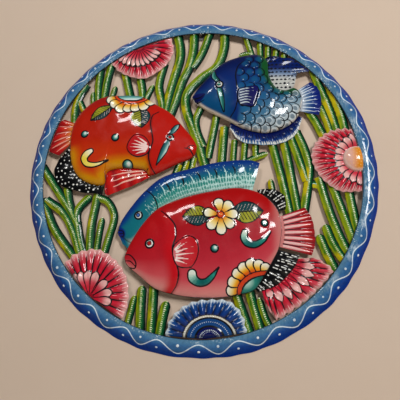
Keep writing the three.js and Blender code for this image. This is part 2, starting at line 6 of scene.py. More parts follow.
import bmesh
import bpy
import numpy as np
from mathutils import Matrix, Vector


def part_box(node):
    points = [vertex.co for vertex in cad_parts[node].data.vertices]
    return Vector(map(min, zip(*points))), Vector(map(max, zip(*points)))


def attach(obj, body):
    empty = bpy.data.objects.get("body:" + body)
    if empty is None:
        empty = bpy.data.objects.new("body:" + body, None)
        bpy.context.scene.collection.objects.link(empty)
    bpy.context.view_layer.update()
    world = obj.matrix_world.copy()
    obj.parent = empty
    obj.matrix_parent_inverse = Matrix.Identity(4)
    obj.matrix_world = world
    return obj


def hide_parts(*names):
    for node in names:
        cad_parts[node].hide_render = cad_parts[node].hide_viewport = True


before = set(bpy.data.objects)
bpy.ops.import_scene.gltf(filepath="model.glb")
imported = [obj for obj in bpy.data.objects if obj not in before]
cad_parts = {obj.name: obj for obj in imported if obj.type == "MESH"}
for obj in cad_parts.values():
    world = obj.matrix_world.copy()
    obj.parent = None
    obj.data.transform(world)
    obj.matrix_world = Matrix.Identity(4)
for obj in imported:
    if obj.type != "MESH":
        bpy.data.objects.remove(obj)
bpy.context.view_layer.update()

# Rim
# One strip of sheet metal rolled to a ring, with its outer edge hammered flat to the wall. It is
# painted in blues, with a white wave and raised white dots between the wave's bends.

rim_low, rim_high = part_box("rim_ring")
WALL = rim_high.y  # the plane that the rim lies on
MM = 0.001
CENTRE_Z = -283.5 * MM  # the plaque's middle below the nail

RIM_OPENING = 270
RIM_EDGE = (rim_high.x - rim_low.x) / 2 / MM - 0.95  # just inside the flats of the solid rim
RIM_WIDTH = RIM_EDGE - RIM_OPENING
RIM_CREST = (WALL - rim_low.y) / MM - 0.1
RIM_SHEET = 1.2
HEM_WIDTH = 14
LIP_BACK = 12.1
HAMMERED = 1.1
RIM_SLOPE = [(0.15, 0.95), (0.33, 1), (0.55, 0.85), (0.75, 0.5), (0.9, 0.22)]
RIM_STEPS = 1320

# Angles of the outer dots; the wave passes inside each of them and outside the dots between them
DOT_ANGLES = np.radians([
    164, 152, 139, 128, 117, 103, 92, 81, 70, 60, 48, 37, 27, 16, 4, -7, -18, -30, -42, -53, -65,
    -78, -90, -103, -114, -127, -139, -151, -163, -174, -185])
INNER_DOTS, OUTER_DOTS = 280.5, 288.5
WAVE_IN, WAVE_OUT = 277, 292.5
WAVE_HALF = 0.6
DOT_RADIUS = 2.1
CURVE_STEPS = 8  # between two points of a drawn line
EVEN_STEPS = 1200  # of a curve before even steps are taken along it
REACH, FAR = 12, 1e3  # how far round a line its distance is worked out, and what it is beyond


def linear(colour):
    """A paint colour, 0 to 255, as linear light. A field of colours is linear already."""
    if not isinstance(colour, tuple):
        return colour
    share = np.array(colour) / 255
    return np.where(share <= 0.04045, share / 12.92, ((share + 0.055) / 1.055) ** 2.4)


def ease(low, high, value):
    """0 below low, 1 above high and a smooth step between them."""
    t = np.clip((value - low) / (high - low), 0, 1)
    return t * t * (3 - 2 * t)


def curve(points, count=None, even=False):
    """A smooth line through the points, as a bent strip runs through them."""
    knots = np.array(points, float)
    knots = np.concatenate([[2 * knots[0] - knots[1]], knots, [2 * knots[-1] - knots[-2]]])
    count = count or CURVE_STEPS * (len(points) - 1)
    t = np.linspace(0, len(points) - 1, (EVEN_STEPS if even else count) + 1)
    k = np.minimum(t.astype(int), len(points) - 2)
    w = (t - k)[:, None]
    p0, p1, p2, p3 = (knots[k + i] for i in range(4))
    d0, d1, d2 = (
        np.maximum(np.linalg.norm(b - a, axis=1) ** 0.5, 1e-6)[:, None]
        for a, b in ((p0, p1), (p1, p2), (p2, p3))
    )
    m1 = ((p1 - p0) / d0 - (p2 - p0) / (d0 + d1) + (p2 - p1) / d1) * d1
    m2 = ((p2 - p1) / d1 - (p3 - p1) / (d1 + d2) + (p3 - p2) / d2) * d1
    line = p1 + w * (m1 + w * ((3 * (p2 - p1) - 2 * m1 - m2) + w * (2 * (p1 - p2) + m1 + m2)))
    if not even:
        return line
    run = np.concatenate([[0], np.cumsum(np.linalg.norm(np.diff(line, axis=0), axis=1))])
    at = np.linspace(0, run[-1], count + 1)
    return np.stack([np.interp(at, run, line[:, i]) for i in range(line.shape[1])], axis=1)


def ring(points, each=10):
    """A smooth closed outline through the points."""
    wrapped = [*points[-2:], *points, *points[:3]]
    return curve(wrapped, each * (len(wrapped) - 1))[2 * each:-2 * each - 1]


def to_line(x, z, line, half=0.0):
    """Distance to a line of points, less half its width, which may change along it."""
    line = np.asarray(line, float)
    half = np.interp(np.linspace(0, 1, len(line)), np.linspace(0, 1, np.size(half)), np.ravel(half))
    nearest = np.full(x.shape, FAR)
    reach = REACH + half.max()
    box = (
        (x > line[:, 0].min() - reach) & (x < line[:, 0].max() + reach)
        & (z > line[:, 1].min() - reach) & (z < line[:, 1].max() + reach)
    )
    px, pz = x[box], z[box]
    best = np.full(px.shape, FAR)
    for (ax, az), (bx, bz), ha, hb in zip(line[:-1], line[1:], half[:-1], half[1:]):
        dx, dz = bx - ax, bz - az
        t = np.clip(((px - ax) * dx + (pz - az) * dz) / max(dx * dx + dz * dz, 1e-9), 0, 1)
        away = np.hypot(px - ax - t * dx, pz - az - t * dz) - (ha + t * (hb - ha))
        best = np.minimum(best, away)
    nearest[box] = best
    return nearest


def on_plaque(x, z, height):
    """Places in the frame, from millimetres on the plaque and in front of the wall."""
    return np.stack([x * MM, WALL - height * MM, CENTRE_Z + z * MM], axis=-1)


def store(mesh, name, values, kind="FLOAT"):
    """Values on the mesh's points, which a material or a tree reads by name."""
    key = {"FLOAT": "value", "FLOAT_VECTOR": "vector", "FLOAT_COLOR": "color"}[kind]
    attribute = mesh.attributes.new(name, kind, "POINT")
    attribute.data.foreach_set(key, np.asarray(values, np.float32).ravel())


def finished(name, mesh, crease, merge=0.0):
    """The mesh as an object, its faces outward and its edges crisp above crease degrees."""
    work = bmesh.new()
    work.from_mesh(mesh)
    if merge:
        bmesh.ops.remove_doubles(work, verts=work.verts, dist=merge)
        bmesh.ops.dissolve_degenerate(work, edges=work.edges, dist=merge / 10)
    bmesh.ops.recalc_face_normals(work, faces=work.faces)
    for face in work.faces:
        face.smooth = True
    work.to_mesh(mesh)
    work.free()
    mesh.set_sharp_from_angle(angle=radians(crease))
    piece = bpy.data.objects.new(name, mesh)
    bpy.context.scene.collection.objects.link(piece)
    return piece


class Socket:
    """What a node puts out, so that sums on it read as Python."""

    def __init__(self, tree, socket=None):
        self.tree = tree
        self.socket = socket

    def node(self, kind, settings=None, inputs=None, output=0):
        """Any node: its settings first, then the values or links of its sockets."""
        made = self.tree.nodes.new(kind)
        for name, value in (settings or {}).items():
            setattr(made, name, value)
        for name, value in (inputs or {}).items():
            if isinstance(value, Socket):
                self.tree.links.new(value.socket, made.inputs[name])
            else:
                made.inputs[name].default_value = value
        return Socket(self.tree, made.outputs[output])

    def maths(self, operation, *values):
        return self.node("ShaderNodeMath", {"operation": operation}, dict(enumerate(values)))

    def __add__(self, other):
        return self.maths("ADD", self, other)

    def __sub__(self, other):
        return self.maths("SUBTRACT", self, other)

    def __rsub__(self, other):
        return self.maths("SUBTRACT", other, self)

    def __mul__(self, other):
        return self.maths("MULTIPLY", self, other)

    __radd__ = __add__
    __rmul__ = __mul__

    def field(self, name, output="Fac"):
        """An attribute of the piece."""
        return self.node("ShaderNodeAttribute", {"attribute_name": name}, output=output)

    def noise(self, size, detail, seed, stretch=(1, 1, 1)):
        """Noise whose lumps are about size millimetres across, longer where stretch is small."""
        place = self.node("ShaderNodeTexCoord", output="Object")
        moved = {"Vector": place, "Location": (seed, 0.7 * seed, 0.3 * seed), "Scale": stretch}
        place = self.node("ShaderNodeMapping", {}, moved)
        lumps = {"Vector": place, "Scale": 1 / (size * MM), "Detail": detail}
        return self.node("ShaderNodeTexNoise", {}, lumps)

    def step(self, low, high, bottom=0.0, top=1.0):
        """This value from low to high, as a smooth step from bottom to top."""
        values = {0: self, 1: low, 2: high, 3: bottom, 4: top}
        return self.node("ShaderNodeMapRange", {"interpolation_type": "SMOOTHSTEP"}, values)

    def between(self, first, second):
        """Two plain colours mixed over this value."""
        values = {0: self, 6: (*linear(first), 1), 7: (*linear(second), 1)}
        return self.node("ShaderNodeMix", {"data_type": "RGBA"}, values, output=2)

    def mixed(self, other, share):
        """This colour with the other over it."""
        other = other if isinstance(other, Socket) else (*linear(other), 1)
        values = {0: share, 6: self, 7: other}
        return self.node("ShaderNodeMix", {"data_type": "RGBA"}, values, output=2)

    def bump(self, strength, millimetres):
        """This height as a change of the surface's slope."""
        values = {"Strength": strength, "Distance": millimetres * MM, "Height": self}
        return self.node("ShaderNodeBump", {}, values)


def new_material(name, metallic=0.0, roughness=0.4, coat=0.0, specular=0.07):
    """A material with one Principled shader. Gives back the material, the shader and a Socket."""
    material = bpy.data.materials.new(name)
    material.use_nodes = True
    shader = material.node_tree.nodes["Principled BSDF"]
    shader.inputs["Metallic"].default_value = metallic
    shader.inputs["Roughness"].default_value = roughness
    shader.inputs["Coat Weight"].default_value = coat
    shader.inputs["Coat Roughness"].default_value = 0.07
    shader.inputs["Specular IOR Level"].default_value = specular
    return material, shader, Socket(material.node_tree)


def feed(shader, **values):
    """Links what varies to the shader's inputs."""
    for name, value in values.items():
        value.tree.links.new(value.socket, shader.inputs[name.replace("_", " ")])


def bare_back():
    """The sheet's unpainted back: dark rolled steel with a brown bloom."""
    material, shader, shade = new_material("bare_sheet_back", metallic=0.3, roughness=0.5)
    cloud = shade.noise(40, 4, 8)
    speck = shade.noise(2.5, 3, 9)
    colour = cloud.step(0.35, 0.65).between((104, 100, 98), (134, 112, 94))
    colour = colour.mixed((70, 56, 46), speck.step(0.55, 0.75, 0, 0.6))
    feed(shader, Base_Color=colour, Roughness=0.38 + 0.3 * cloud, Normal=speck.bump(0.5, 0.3))
    return material


def hammered(angle):
    return HAMMERED * (np.cos(5 * angle) + 0.6 * np.cos(11 * angle)) / 1.6


def around(radius, angle):
    return np.stack([radius * np.cos(angle), radius * np.sin(angle)], axis=-1)


BACK = bare_back()
between = (DOT_ANGLES + np.append(DOT_ANGLES[1:], DOT_ANGLES[0] - 2 * pi)) / 2
squeeze = 2.6 * np.exp(-(((np.sin(DOT_ANGLES / 2 + 0.02)) / 0.42) ** 2))  # narrower to the right
bends = [around(WAVE_IN + squeeze, DOT_ANGLES), around(WAVE_OUT - squeeze, between)]
rim_wave = ring(np.stack(bends, axis=1).reshape(-1, 2).tolist(), 14)

slope = [(RIM_OPENING + RIM_WIDTH * out, RIM_CREST * up) for out, up in RIM_SLOPE]
top_line = curve([(RIM_OPENING, LIP_BACK + RIM_SHEET), *slope, (RIM_EDGE, RIM_SHEET / 2)], 36)
top_line[:, 1] = np.minimum(top_line[:, 1], RIM_CREST)
turn = np.linspace(0, 2 * pi, RIM_STEPS, endpoint=False)[:, None]
plain = top_line[None, :, 0] * np.ones_like(turn)
share = (plain - RIM_OPENING) / RIM_WIDTH
from_top = pi / 2 - turn
dents = 0.35 * np.sin(17 * turn + 3 * np.sin(5 * turn)) * np.sin(29 * turn) * np.sin(pi * share)
radius = plain + hammered(from_top) * share + 0.5 * np.sin(43 * turn + np.sin(9 * turn)) * share**3
rim_x, rim_z = radius * np.cos(turn), radius * np.sin(turn)
rim_h = np.minimum(top_line[None, :, 1] + dents, RIM_CREST)
wave_edge = to_line(rim_x, rim_z, np.concatenate([rim_wave, rim_wave[:1]]), WAVE_HALF)
wave_angle = np.arctan2(rim_wave[:, 1], rim_wave[:, 0])
wave_radius = np.interp(turn[:, 0], wave_angle, np.hypot(*rim_wave.T), period=2 * pi)
beyond = radius - wave_radius[:, None]
bend = np.min(np.abs((turn - DOT_ANGLES + pi) % (2 * pi) - pi), axis=1)[:, None]
right_side = 0.1 + 0.7 * np.exp(-(((turn + pi) % (2 * pi) - pi + 0.12) / 0.62) ** 2)
haze = ease(0.075, 0.02, bend) * ease(0.05, 0.12, share) * ease(1.5, -2, beyond) * right_side

under = []
for r, h in top_line[1:-1:3]:
    if h > 2 * RIM_SHEET:
        inward = 0.3 if r < slope[1][0] else -0.75 * (1 - h / RIM_CREST) - 0.1
        under.append((r + inward * RIM_SHEET, h - RIM_SHEET))
hem = [(RIM_EDGE - 0.6, 0), (RIM_EDGE - HEM_WIDTH, 0), (RIM_EDGE - HEM_WIDTH, RIM_SHEET),
       (RIM_EDGE - 2.2 * RIM_SHEET, RIM_SHEET)]
underside = np.array([*hem, *under[::-1], (RIM_OPENING, LIP_BACK)])


def rim_dots():
    """The dots' places on the rim's slope, and the way that each one faces."""
    angle = np.concatenate([DOT_ANGLES, between])
    out = np.concatenate([np.full(len(DOT_ANGLES), OUTER_DOTS), np.full(len(between), INNER_DOTS)])
    height = np.interp(out, *top_line.T)
    fall = (np.interp(out + 1, *top_line.T) - np.interp(out - 1, *top_line.T)) / 2
    out = out + hammered(pi / 2 - angle) * (out - RIM_OPENING) / RIM_WIDTH
    facing = [-fall * np.cos(angle), -np.ones(len(out)), -fall * np.sin(angle)]
    return on_plaque(out * np.cos(angle), out * np.sin(angle), height), np.stack(facing, axis=1)


def rim_mesh():
    """The painted top and the plain underside as one closed ring, and loose points for the dots."""
    columns = len(top_line) + len(underside)
    hidden = underside[:, 0] + hammered(from_top) * (underside[:, 0] - RIM_OPENING) / RIM_WIDTH
    plan = np.concatenate([radius, hidden], axis=1)
    depth = np.concatenate([rim_h, np.repeat(underside[None, :, 1], RIM_STEPS, 0)], axis=1)
    places = on_plaque(plan * np.cos(turn), plan * np.sin(turn), depth).reshape(-1, 3)
    dots, facing = rim_dots()
    i, j = np.meshgrid(np.arange(RIM_STEPS), np.arange(columns), indexing="ij")
    after, along = (i + 1) % RIM_STEPS * columns, (j + 1) % columns
    faces = np.stack([i * columns + j, after + j, after + along, i * columns + along], axis=-1)
    mesh = bpy.data.meshes.new("rim_ring_painted")
    mesh.from_pydata(np.concatenate([places, dots]).tolist(), [], faces.reshape(-1, 4).tolist())
    lip = underside[:, 0] < slope[1][0]  # the paint goes round the inner edge
    bare = np.concatenate([np.zeros(len(top_line) - 1, bool), [True], ~lip])
    mesh.polygons.foreach_set("material_index", bare[j].astype(np.int32).ravel())
    for name, values, unseen in (("wave_edge", wave_edge, 9), ("out", share, ~lip),
                                 ("beyond", beyond, 9), ("haze", haze, 0)):
        whole = np.concatenate([values, np.zeros((RIM_STEPS, len(underside))) + unseen], axis=1)
        store(mesh, name, np.append(whole, np.zeros(len(dots))))
    store(mesh, "dab", np.append(np.zeros(len(places)), np.ones(len(dots))))
    store(mesh, "facing", np.concatenate([np.zeros_like(places), facing]), "FLOAT_VECTOR")
    for material in (rim_enamel(), BACK):
        mesh.materials.append(material)
    return mesh


def rim_enamel():
    material, shader, shade = new_material("rim_blue_enamel", coat=0.5, specular=0.02)
    out = shade.field("out")
    drawn = out + (shade.noise(12, 3, 21) - 0.5) * 0.16
    strokes = shade.noise(4, 4, 22)
    colour = drawn.step(0.1, 0.45).between((82, 128, 160), (52, 104, 156))
    past = shade.field("beyond") + (shade.noise(7, 3, 27) - 0.5) * 5
    colour = colour.mixed((4, 64, 152), past.step(-4, 5, 0, 0.9) * drawn.step(0.3, 0.6))
    colour = colour.mixed((0, 50, 140), drawn.step(0.6, 0.92))
    colour = colour.mixed((0, 0, 0), strokes.step(0.35, 0.75, 0, 0.22))
    # Dark band at the inner lip: a dark edge line, and painted shade standing in for the lip's
    # shaded underside.
    colour = colour.mixed((8, 12, 30), out.step(0.05, 0.01, 0, 0.95))
    # Pale flecks in patches along the inner lip: painted glints of the hammered edge.
    flecks = shade.noise(2.2, 2, 23).step(0.58, 0.66) * out.step(0.26, 0.08)
    patches = shade.noise(34, 1, 28).step(0.42, 0.6)
    colour = colour.mixed((206, 222, 228), flecks * patches)
    # Pale streaks on the inner band between the wave's bends, strongest on the right side.
    pale_streaks = shade.noise(3, 4, 29, (1, 1, 0.4)).step(0.4, 0.62) * shade.field("haze")
    colour = colour.mixed((208, 224, 232), pale_streaks)
    line = (shade.field("wave_edge") + (shade.noise(4, 2, 24) - 0.5) * 0.5).step(0.5, -0.1)
    colour = colour.mixed((222, 234, 240), line * shade.noise(9, 2, 25).step(0.25, 0.5, 0.6, 1))
    height = shade.noise(14, 2, 26) + 0.1 * strokes
    feed(shader, Base_Color=colour, Roughness=0.22 + 0.22 * strokes, Normal=height.bump(1.0, 1.2),
         Coat_Weight=out.step(0.35, 0.8, 0.5, 0.05))
    return material


def dab_paint(name, colour, shadow):
    """Small raised dabs of pale paint."""
    material, shader, shade = new_material(name, roughness=0.3, coat=0.4)
    patches = shade.noise(7, 3, 55)
    feed(shader, Base_Color=patches.step(0.35, 0.6).between(shadow, colour),
         Roughness=0.25 + 0.2 * patches)
    return material


def open_tree(name, takes, gives):
    """A tree with its inputs named in its interface. Gives back the tree and those inputs."""
    tree = bpy.data.node_groups.new(name, "GeometryNodeTree")
    for title, kind in takes.items():
        tree.interface.new_socket(title, in_out="INPUT", socket_type="NodeSocket" + kind)
    tree.interface.new_socket(gives, in_out="OUTPUT", socket_type="NodeSocketGeometry")
    start = tree.nodes.new("NodeGroupInput")
    given = {socket.name: Socket(tree, socket) for socket in start.outputs if socket.name}
    return Socket(tree), given


def closed_tree(net, *parts):
    """The tree, giving out the parts as one."""
    both = net.tree.nodes.new("GeometryNodeJoinGeometry")
    for part in parts:
        net.tree.links.new(part.socket, both.inputs[0])
    end = net.tree.nodes.new("NodeGroupOutput")
    net.tree.links.new(both.outputs[0], end.inputs[0])
    return net.tree


def named(net, name, kind="FLOAT"):
    return net.node("GeometryNodeInputNamedAttribute", {"data_type": kind}, {"Name": name})


def coated(net, geometry, paint):
    return net.node("GeometryNodeSetMaterial", {}, {"Geometry": geometry, "Material": paint})


def dabs_on(net, points, radius, fineness, form, spread, seed, paint, **how):
    """Small balls of paint, pressed to a form and varied in size, on points."""
    size = net.node("FunctionNodeRandomValue", {"data_type": "FLOAT"},
                    {2: spread[0], 3: spread[1], "Seed": seed}, output=1)
    dab = net.node("GeometryNodeMeshUVSphere", {},
                   {"Segments": fineness[0], "Rings": fineness[1], "Radius": radius})
    dab = net.node("GeometryNodeTransform", {}, {"Geometry": dab, "Scale": form})
    dabs = net.node("GeometryNodeInstanceOnPoints", {},
                    {"Points": points, "Instance": dab, "Scale": size, **how})
    return coated(net, net.node("GeometryNodeRealizeInstances", {}, {"Geometry": dabs}), paint)


def above_half(value):
    return value.maths("GREATER_THAN", value, 0.5)


def dotted_tree():
    """Sets a raised dab on each loose point of a painted mesh."""
    takes = {"Painted": "Geometry", "Dab size": "Float", "Seed": "Int", "Dab paint": "Material"}
    net, given = open_tree("dabs_on_points", takes, "Dotted")
    loose = net.node("GeometryNodeSeparateGeometry", {"domain": "POINT"},
                     {"Geometry": given["Painted"], "Selection": above_half(named(net, "dab"))})
    sheet = Socket(net.tree, loose.socket.node.outputs[1])
    turned = net.node("FunctionNodeAlignRotationToVector", {"axis": "Y"},
                      {"Vector": named(net, "facing", "FLOAT_VECTOR")})
    dabs = dabs_on(net, loose, given["Dab size"], (10, 6), (1, 0.45, 1), (0.8, 1.15), given["Seed"],
                   given["Dab paint"], Rotation=turned)
    return closed_tree(net, dabs, sheet)


def grown(name, mesh, tree, values):
    """The result of a tree on a mesh, as a plain mesh piece."""
    source = bpy.data.objects.new(name + "_source", mesh)
    bpy.context.scene.collection.objects.link(source)
    modifier = source.modifiers.new("build", "NODES")
    modifier.node_group = tree
    for item in tree.interface.items_tree:
        if item.in_out == "INPUT" and item.name in values:
            modifier[item.identifier] = values[item.name]
    seen = source.evaluated_get(bpy.context.evaluated_depsgraph_get())
    built = bpy.data.meshes.new_from_object(seen)
    bpy.data.objects.remove(source)
    built.name = name
    return finished(name, built, crease=60)


rim = grown("rim_ring_painted", rim_mesh(), dotted_tree(), {
    "Dab size": DOT_RADIUS * MM, "Seed": 4,
    "Dab paint": dab_paint("rim_dots", (236, 242, 244), (186, 206, 220))})
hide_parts("rim_ring")
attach(rim, "root")

# Hanging tab
# A plate of thicker sheet, riveted to the hem behind the rim's top, with a keyhole for the nail.

tab_steel, shader, shade = new_material("bare_tab_steel", metallic=0.9, roughness=0.45)
streaks = shade.noise(1.2, 3, 31, (0.12, 1, 1))
stains = shade.noise(9, 4, 32).step(0.55, 0.75, 0, 0.6)
colour = streaks.between((112, 112, 114), (150, 148, 146)).mixed((96, 76, 60), stains)
feed(shader, Base_Color=colour, Roughness=0.32 + 0.25 * streaks, Normal=streaks.bump(0.4, 0.2))
for node in ("hanging_tab", "tab_rivet_left", "tab_rivet_right"):
    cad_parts[node].data.materials.clear()
    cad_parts[node].data.materials.append(tab_steel)

# Sea weed
# Strips of sheet folded to a ridge, soldered to the rim and behind the figures. The left flank is
# painted yellow green, the right one dark green, and the ridge is beaded with pale dabs.

STRAND_EDGE = 7.0
STRAND_SHEET = 1.0
LOW, HIGH, FLAT = 10.5, 11.8, 7.6
TIP = 9  # the stretch over which an open end narrows
FOLD_POWER = 1.35  # how round the ridge is
LINE_STEP = 2.5
BEAD_STEP = 3.0
BEAD_SIZE = 1.15
BEAD_DEPTH = 0.1
WIDE, BROAD, SLIM, SHORT = 16, 18, 14, 12  # widths of the strips
OPEN_START, OPEN_END = "start", "end"  # an end that shows, and so narrows

WEEDS = {
    "upper_left_weeds": [
        (WIDE, [(-208, 174), (-219, 154), (-226, 130), (-225, 86)]),
        (SHORT, [(-219, 140), (-211, 124), (-200, 106)]),
        (WIDE, [(-184, 206, HIGH), (-186, 172), (-184, 130, HIGH)]),
        (WIDE, [(-162, 222), (-170, 183), (-175, 140), (-177, 126, HIGH)]),
        (SHORT, [(-196, 159), (-192, 122, HIGH)], OPEN_START),
        (SHORT, [(-154, 169), (-161, 140), (-163, 130, HIGH)], OPEN_START),
        (SHORT, [(-200, 98, FLAT), (-186, 124, FLAT), (-160, 132, FLAT)]),
    ],
    "upper_anemone_weeds": [
        (WIDE, [(-138, 198), (-130, 165), (-121, 130, HIGH)]),
        (WIDE, [(-110, 192), (-104, 160), (-101, 126, HIGH)]),
        (SHORT, [(-84, 169), (-95, 144), (-101, 126, HIGH)], OPEN_START),
        (SHORT, [(-128, 132, FLAT), (-94, 128, FLAT)]),
    ],
    "top_weeds": [
        (WIDE, [(-64, 212), (-73, 165), (-66, 128), (-66, 112, HIGH)]),
        (BROAD, [(-41, 276), (-35, 245), (-35, 222), (-44, 187), (-53, 150),
                         (-60, 110, HIGH)]),
        (BROAD, [(-9, 278, HIGH), (-10, 240), (-17, 205), (-30, 175), (-42, 135),
                         (-54, 100, HIGH)]),
        (WIDE, [(22, 276, HIGH), (4, 227), (-12, 202)]),
        (BROAD, [(48, 275, HIGH), (47, 240), (33, 203), (2, 178), (-22, 148),
                         (-23, 120), (-12, 85), (0, 50), (12, 6)]),
        (SLIM, [(8, 128, HIGH), (-5, 98), (-3, 75), (8, 46)]),
        (SLIM, [(33, 114, HIGH), (28, 85), (20, 45), (16, 24)]),
        (WIDE, [(45, 82), (42, 50), (38, 6)]),
        (SHORT, [(-42, -6), (-34, 14)]),
        (SHORT, [(-28, -2), (-21, 20)]),
        (SHORT, [(-14, 2), (-9, 26)]),
        (SHORT, [(62, 56), (58, 14)]),
        (SHORT, [(80, 52), (76, 12)]),
        (SHORT, [(98, 54), (97, 24)]),
        (SHORT, [(72, 12), (95, 23), (117, 31)], OPEN_END),
        (SHORT, [(-46, -8, FLAT), (0, 3, FLAT), (50, 9, FLAT), (82, 10, FLAT)]),
    ],
    "crown_weeds": [
        (SHORT, [(87, 263, HIGH), (93, 240), (101, 210, HIGH)]),
        (SHORT, [(113, 255, HIGH), (113, 230), (113, 206, HIGH)]),
        (SHORT, [(128, 248), (125, 200)]),
        (SHORT, [(143, 239), (138, 200)]),
        (SHORT, [(158, 229), (151, 198)]),
        (SHORT, [(74, 223), (92, 226), (98, 220)], OPEN_START),
        (SHORT, [(98, 208, FLAT), (124, 206, FLAT), (154, 200, FLAT)]),
    ],
    "upper_right_weeds": [
        (WIDE, [(204, 189), (216, 147), (226, 115), (238, 62)]),
        (WIDE, [(230, 155, HIGH), (238, 130), (247, 95), (251, 62)]),
        (WIDE, [(190, 110), (201, 90), (215, 56)]),
        (SLIM, [(212, 116), (221, 88), (228, 58)]),
    ],
    "right_weeds": [
        (WIDE, [(124, 58), (132, 20), (140, -20), (150, -77)]),
        (SHORT, [(120, -16), (124, -46)], OPEN_START),
        (SHORT, [(121, -48, FLAT), (147, -54, FLAT)]),
        (WIDE, [(145, 58), (150, 25), (163, -78)]),
        (WIDE, [(158, 60), (168, 25), (180, -20)]),
        (WIDE, [(168, 70), (179, 40), (186, 5), (183, -20), (171, -78)]),
        (SLIM, [(176, -24, FLAT), (190, -25, FLAT), (208, -30, FLAT)]),
        (WIDE, [(200, -14), (214, -77), (232, -130), (240, -146, HIGH)]),
        (WIDE, [(219, -22), (234, -75), (246, -120), (248, -130, HIGH)]),
        (WIDE, [(246, -28), (250, -70), (255, -113, HIGH)]),
        (WIDE, [(204, -94), (214, -125), (232, -157, HIGH)], OPEN_START),
        (WIDE, [(193, -110), (203, -140), (217, -172)], OPEN_START),
    ],
    "left_weeds": [
        (WIDE, [(-277, 16, HIGH), (-250, -22), (-225, -57), (-204, -90)]),
        (WIDE, [(-230, -8), (-224, -45), (-213, -78)]),
        (WIDE, [(-272, -44), (-260, -66), (-243, -98), (-206, -144)]),
        (WIDE, [(-264, -45), (-232, -68), (-212, -100), (-196, -142)]),
        (WIDE, [(-186, -39), (-207, -66), (-203, -100), (-190, -142)], OPEN_START),
        (WIDE, [(-172, -22), (-176, -55), (-181, -95), (-180, -144)]),
        (SHORT, [(-163, -78), (-167, -110), (-170, -144)], OPEN_START),
        (SLIM, [(-174, -42), (-156, -50), (-143, -75), (-150, -112), (-158, -146)]),
        (SHORT, [(-200, -150, FLAT), (-158, -150, FLAT)]),
    ],
    "lower_left_weeds": [
        (SHORT, [(-102, -205), (-107, -228), (-113, -253)], OPEN_START),
        (WIDE, [(-91, -190), (-92, -225), (-92, -261, HIGH)], OPEN_START),
        (WIDE, [(-72, -186, HIGH), (-73, -225), (-75, -268, HIGH)]),
        (WIDE, [(-51, -214), (-57, -240), (-62, -271, HIGH)], OPEN_START),
        (SHORT, [(-113, -253, FLAT), (-88, -263, FLAT), (-62, -271, FLAT)]),
    ],
    "lower_right_weeds": [
        (WIDE, [(57, -196, HIGH), (66, -225), (80, -266)]),
        (WIDE, [(77, -188), (86, -225), (96, -261, HIGH)]),
        (SHORT, [(94, -209), (101, -235), (111, -256, HIGH)], OPEN_START),
        (SHORT, [(80, -266, FLAT), (96, -261, FLAT), (111, -255, FLAT)]),
    ],
}


def weed_tree():
    """Sweeps a folded strip along each line and sets beads of paint on its ridge."""
    takes = {"Lines": "Geometry", "Edge height": "Float", "Sheet": "Float", "Bead step": "Float",
             "Bead size": "Float", "Seed": "Int", "Enamel": "Material", "Bead paint": "Material"}
    net, given = open_tree("ridged_weed_strands", takes, "Strands")

    def split():
        here = net.node("GeometryNodeInputPosition")
        parted = net.node("ShaderNodeSeparateXYZ", {}, {"Vector": here}).socket.node
        return Socket(net.tree, parted.outputs[0]), Socket(net.tree, parted.outputs[1])

    def stored(geometry, name, value):
        how = {"data_type": "FLOAT", "domain": "POINT"}
        return net.node("GeometryNodeStoreNamedAttribute", how,
                        {"Geometry": geometry, "Name": name, "Value": value})

    def placed(geometry, height):
        """From the drawing's plane to the plaque: its Y turns up and its height comes forward."""
        x, y = split()
        spot = net.node("ShaderNodeCombineXYZ", {}, {"X": x, "Y": WALL - height, "Z": y + CENTRE_Z})
        return net.node("GeometryNodeSetPosition", {}, {"Geometry": geometry, "Position": spot})

    lines = net.node("GeometryNodeMeshToCurve", {}, {"Mesh": given["Lines"]})
    lines = net.node("GeometryNodeSetCurveNormal", {"mode": "Z_UP"}, {"Curve": lines})
    profile = net.node("GeometryNodeCurvePrimitiveCircle", {"mode": "RADIUS"},
                       {"Resolution": 16, "Radius": 1.0})
    x, y = split()
    profile = stored(stored(profile, "across", x), "skin", y)
    swept = net.node("GeometryNodeCurveToMesh", {}, {
        "Curve": lines, "Profile Curve": profile, "Scale": named(net, "half"), "Fill Caps": True})
    across, ridge = named(net, "across"), named(net, "ridge")
    side = across.maths("ABSOLUTE", across)
    fold = 1 - side.maths("POWER", side, FOLD_POWER)
    middle = given["Edge height"] + (ridge - given["Edge height"]) * fold
    strips = placed(swept, middle + (named(net, "skin") - 1) * given["Sheet"] * 0.5)
    spaced = net.node("GeometryNodeResampleCurve", {"mode": "LENGTH"},
                      {"Curve": lines, "Length": given["Bead step"]})
    along = net.node("FunctionNodeAlignRotationToVector", {"axis": "Z", "pivot_axis": "Y"},
                     {"Vector": net.node("GeometryNodeInputTangent")})
    beads = dabs_on(net, placed(spaced, ridge - BEAD_DEPTH * MM), given["Bead size"], (6, 4),
                    (1.45, 0.55, 0.9), (0.75, 1.2), given["Seed"], given["Bead paint"],
                    Rotation=along, Selection=above_half(named(net, "beaded")))
    return closed_tree(net, beads, coated(net, strips, given["Enamel"]))


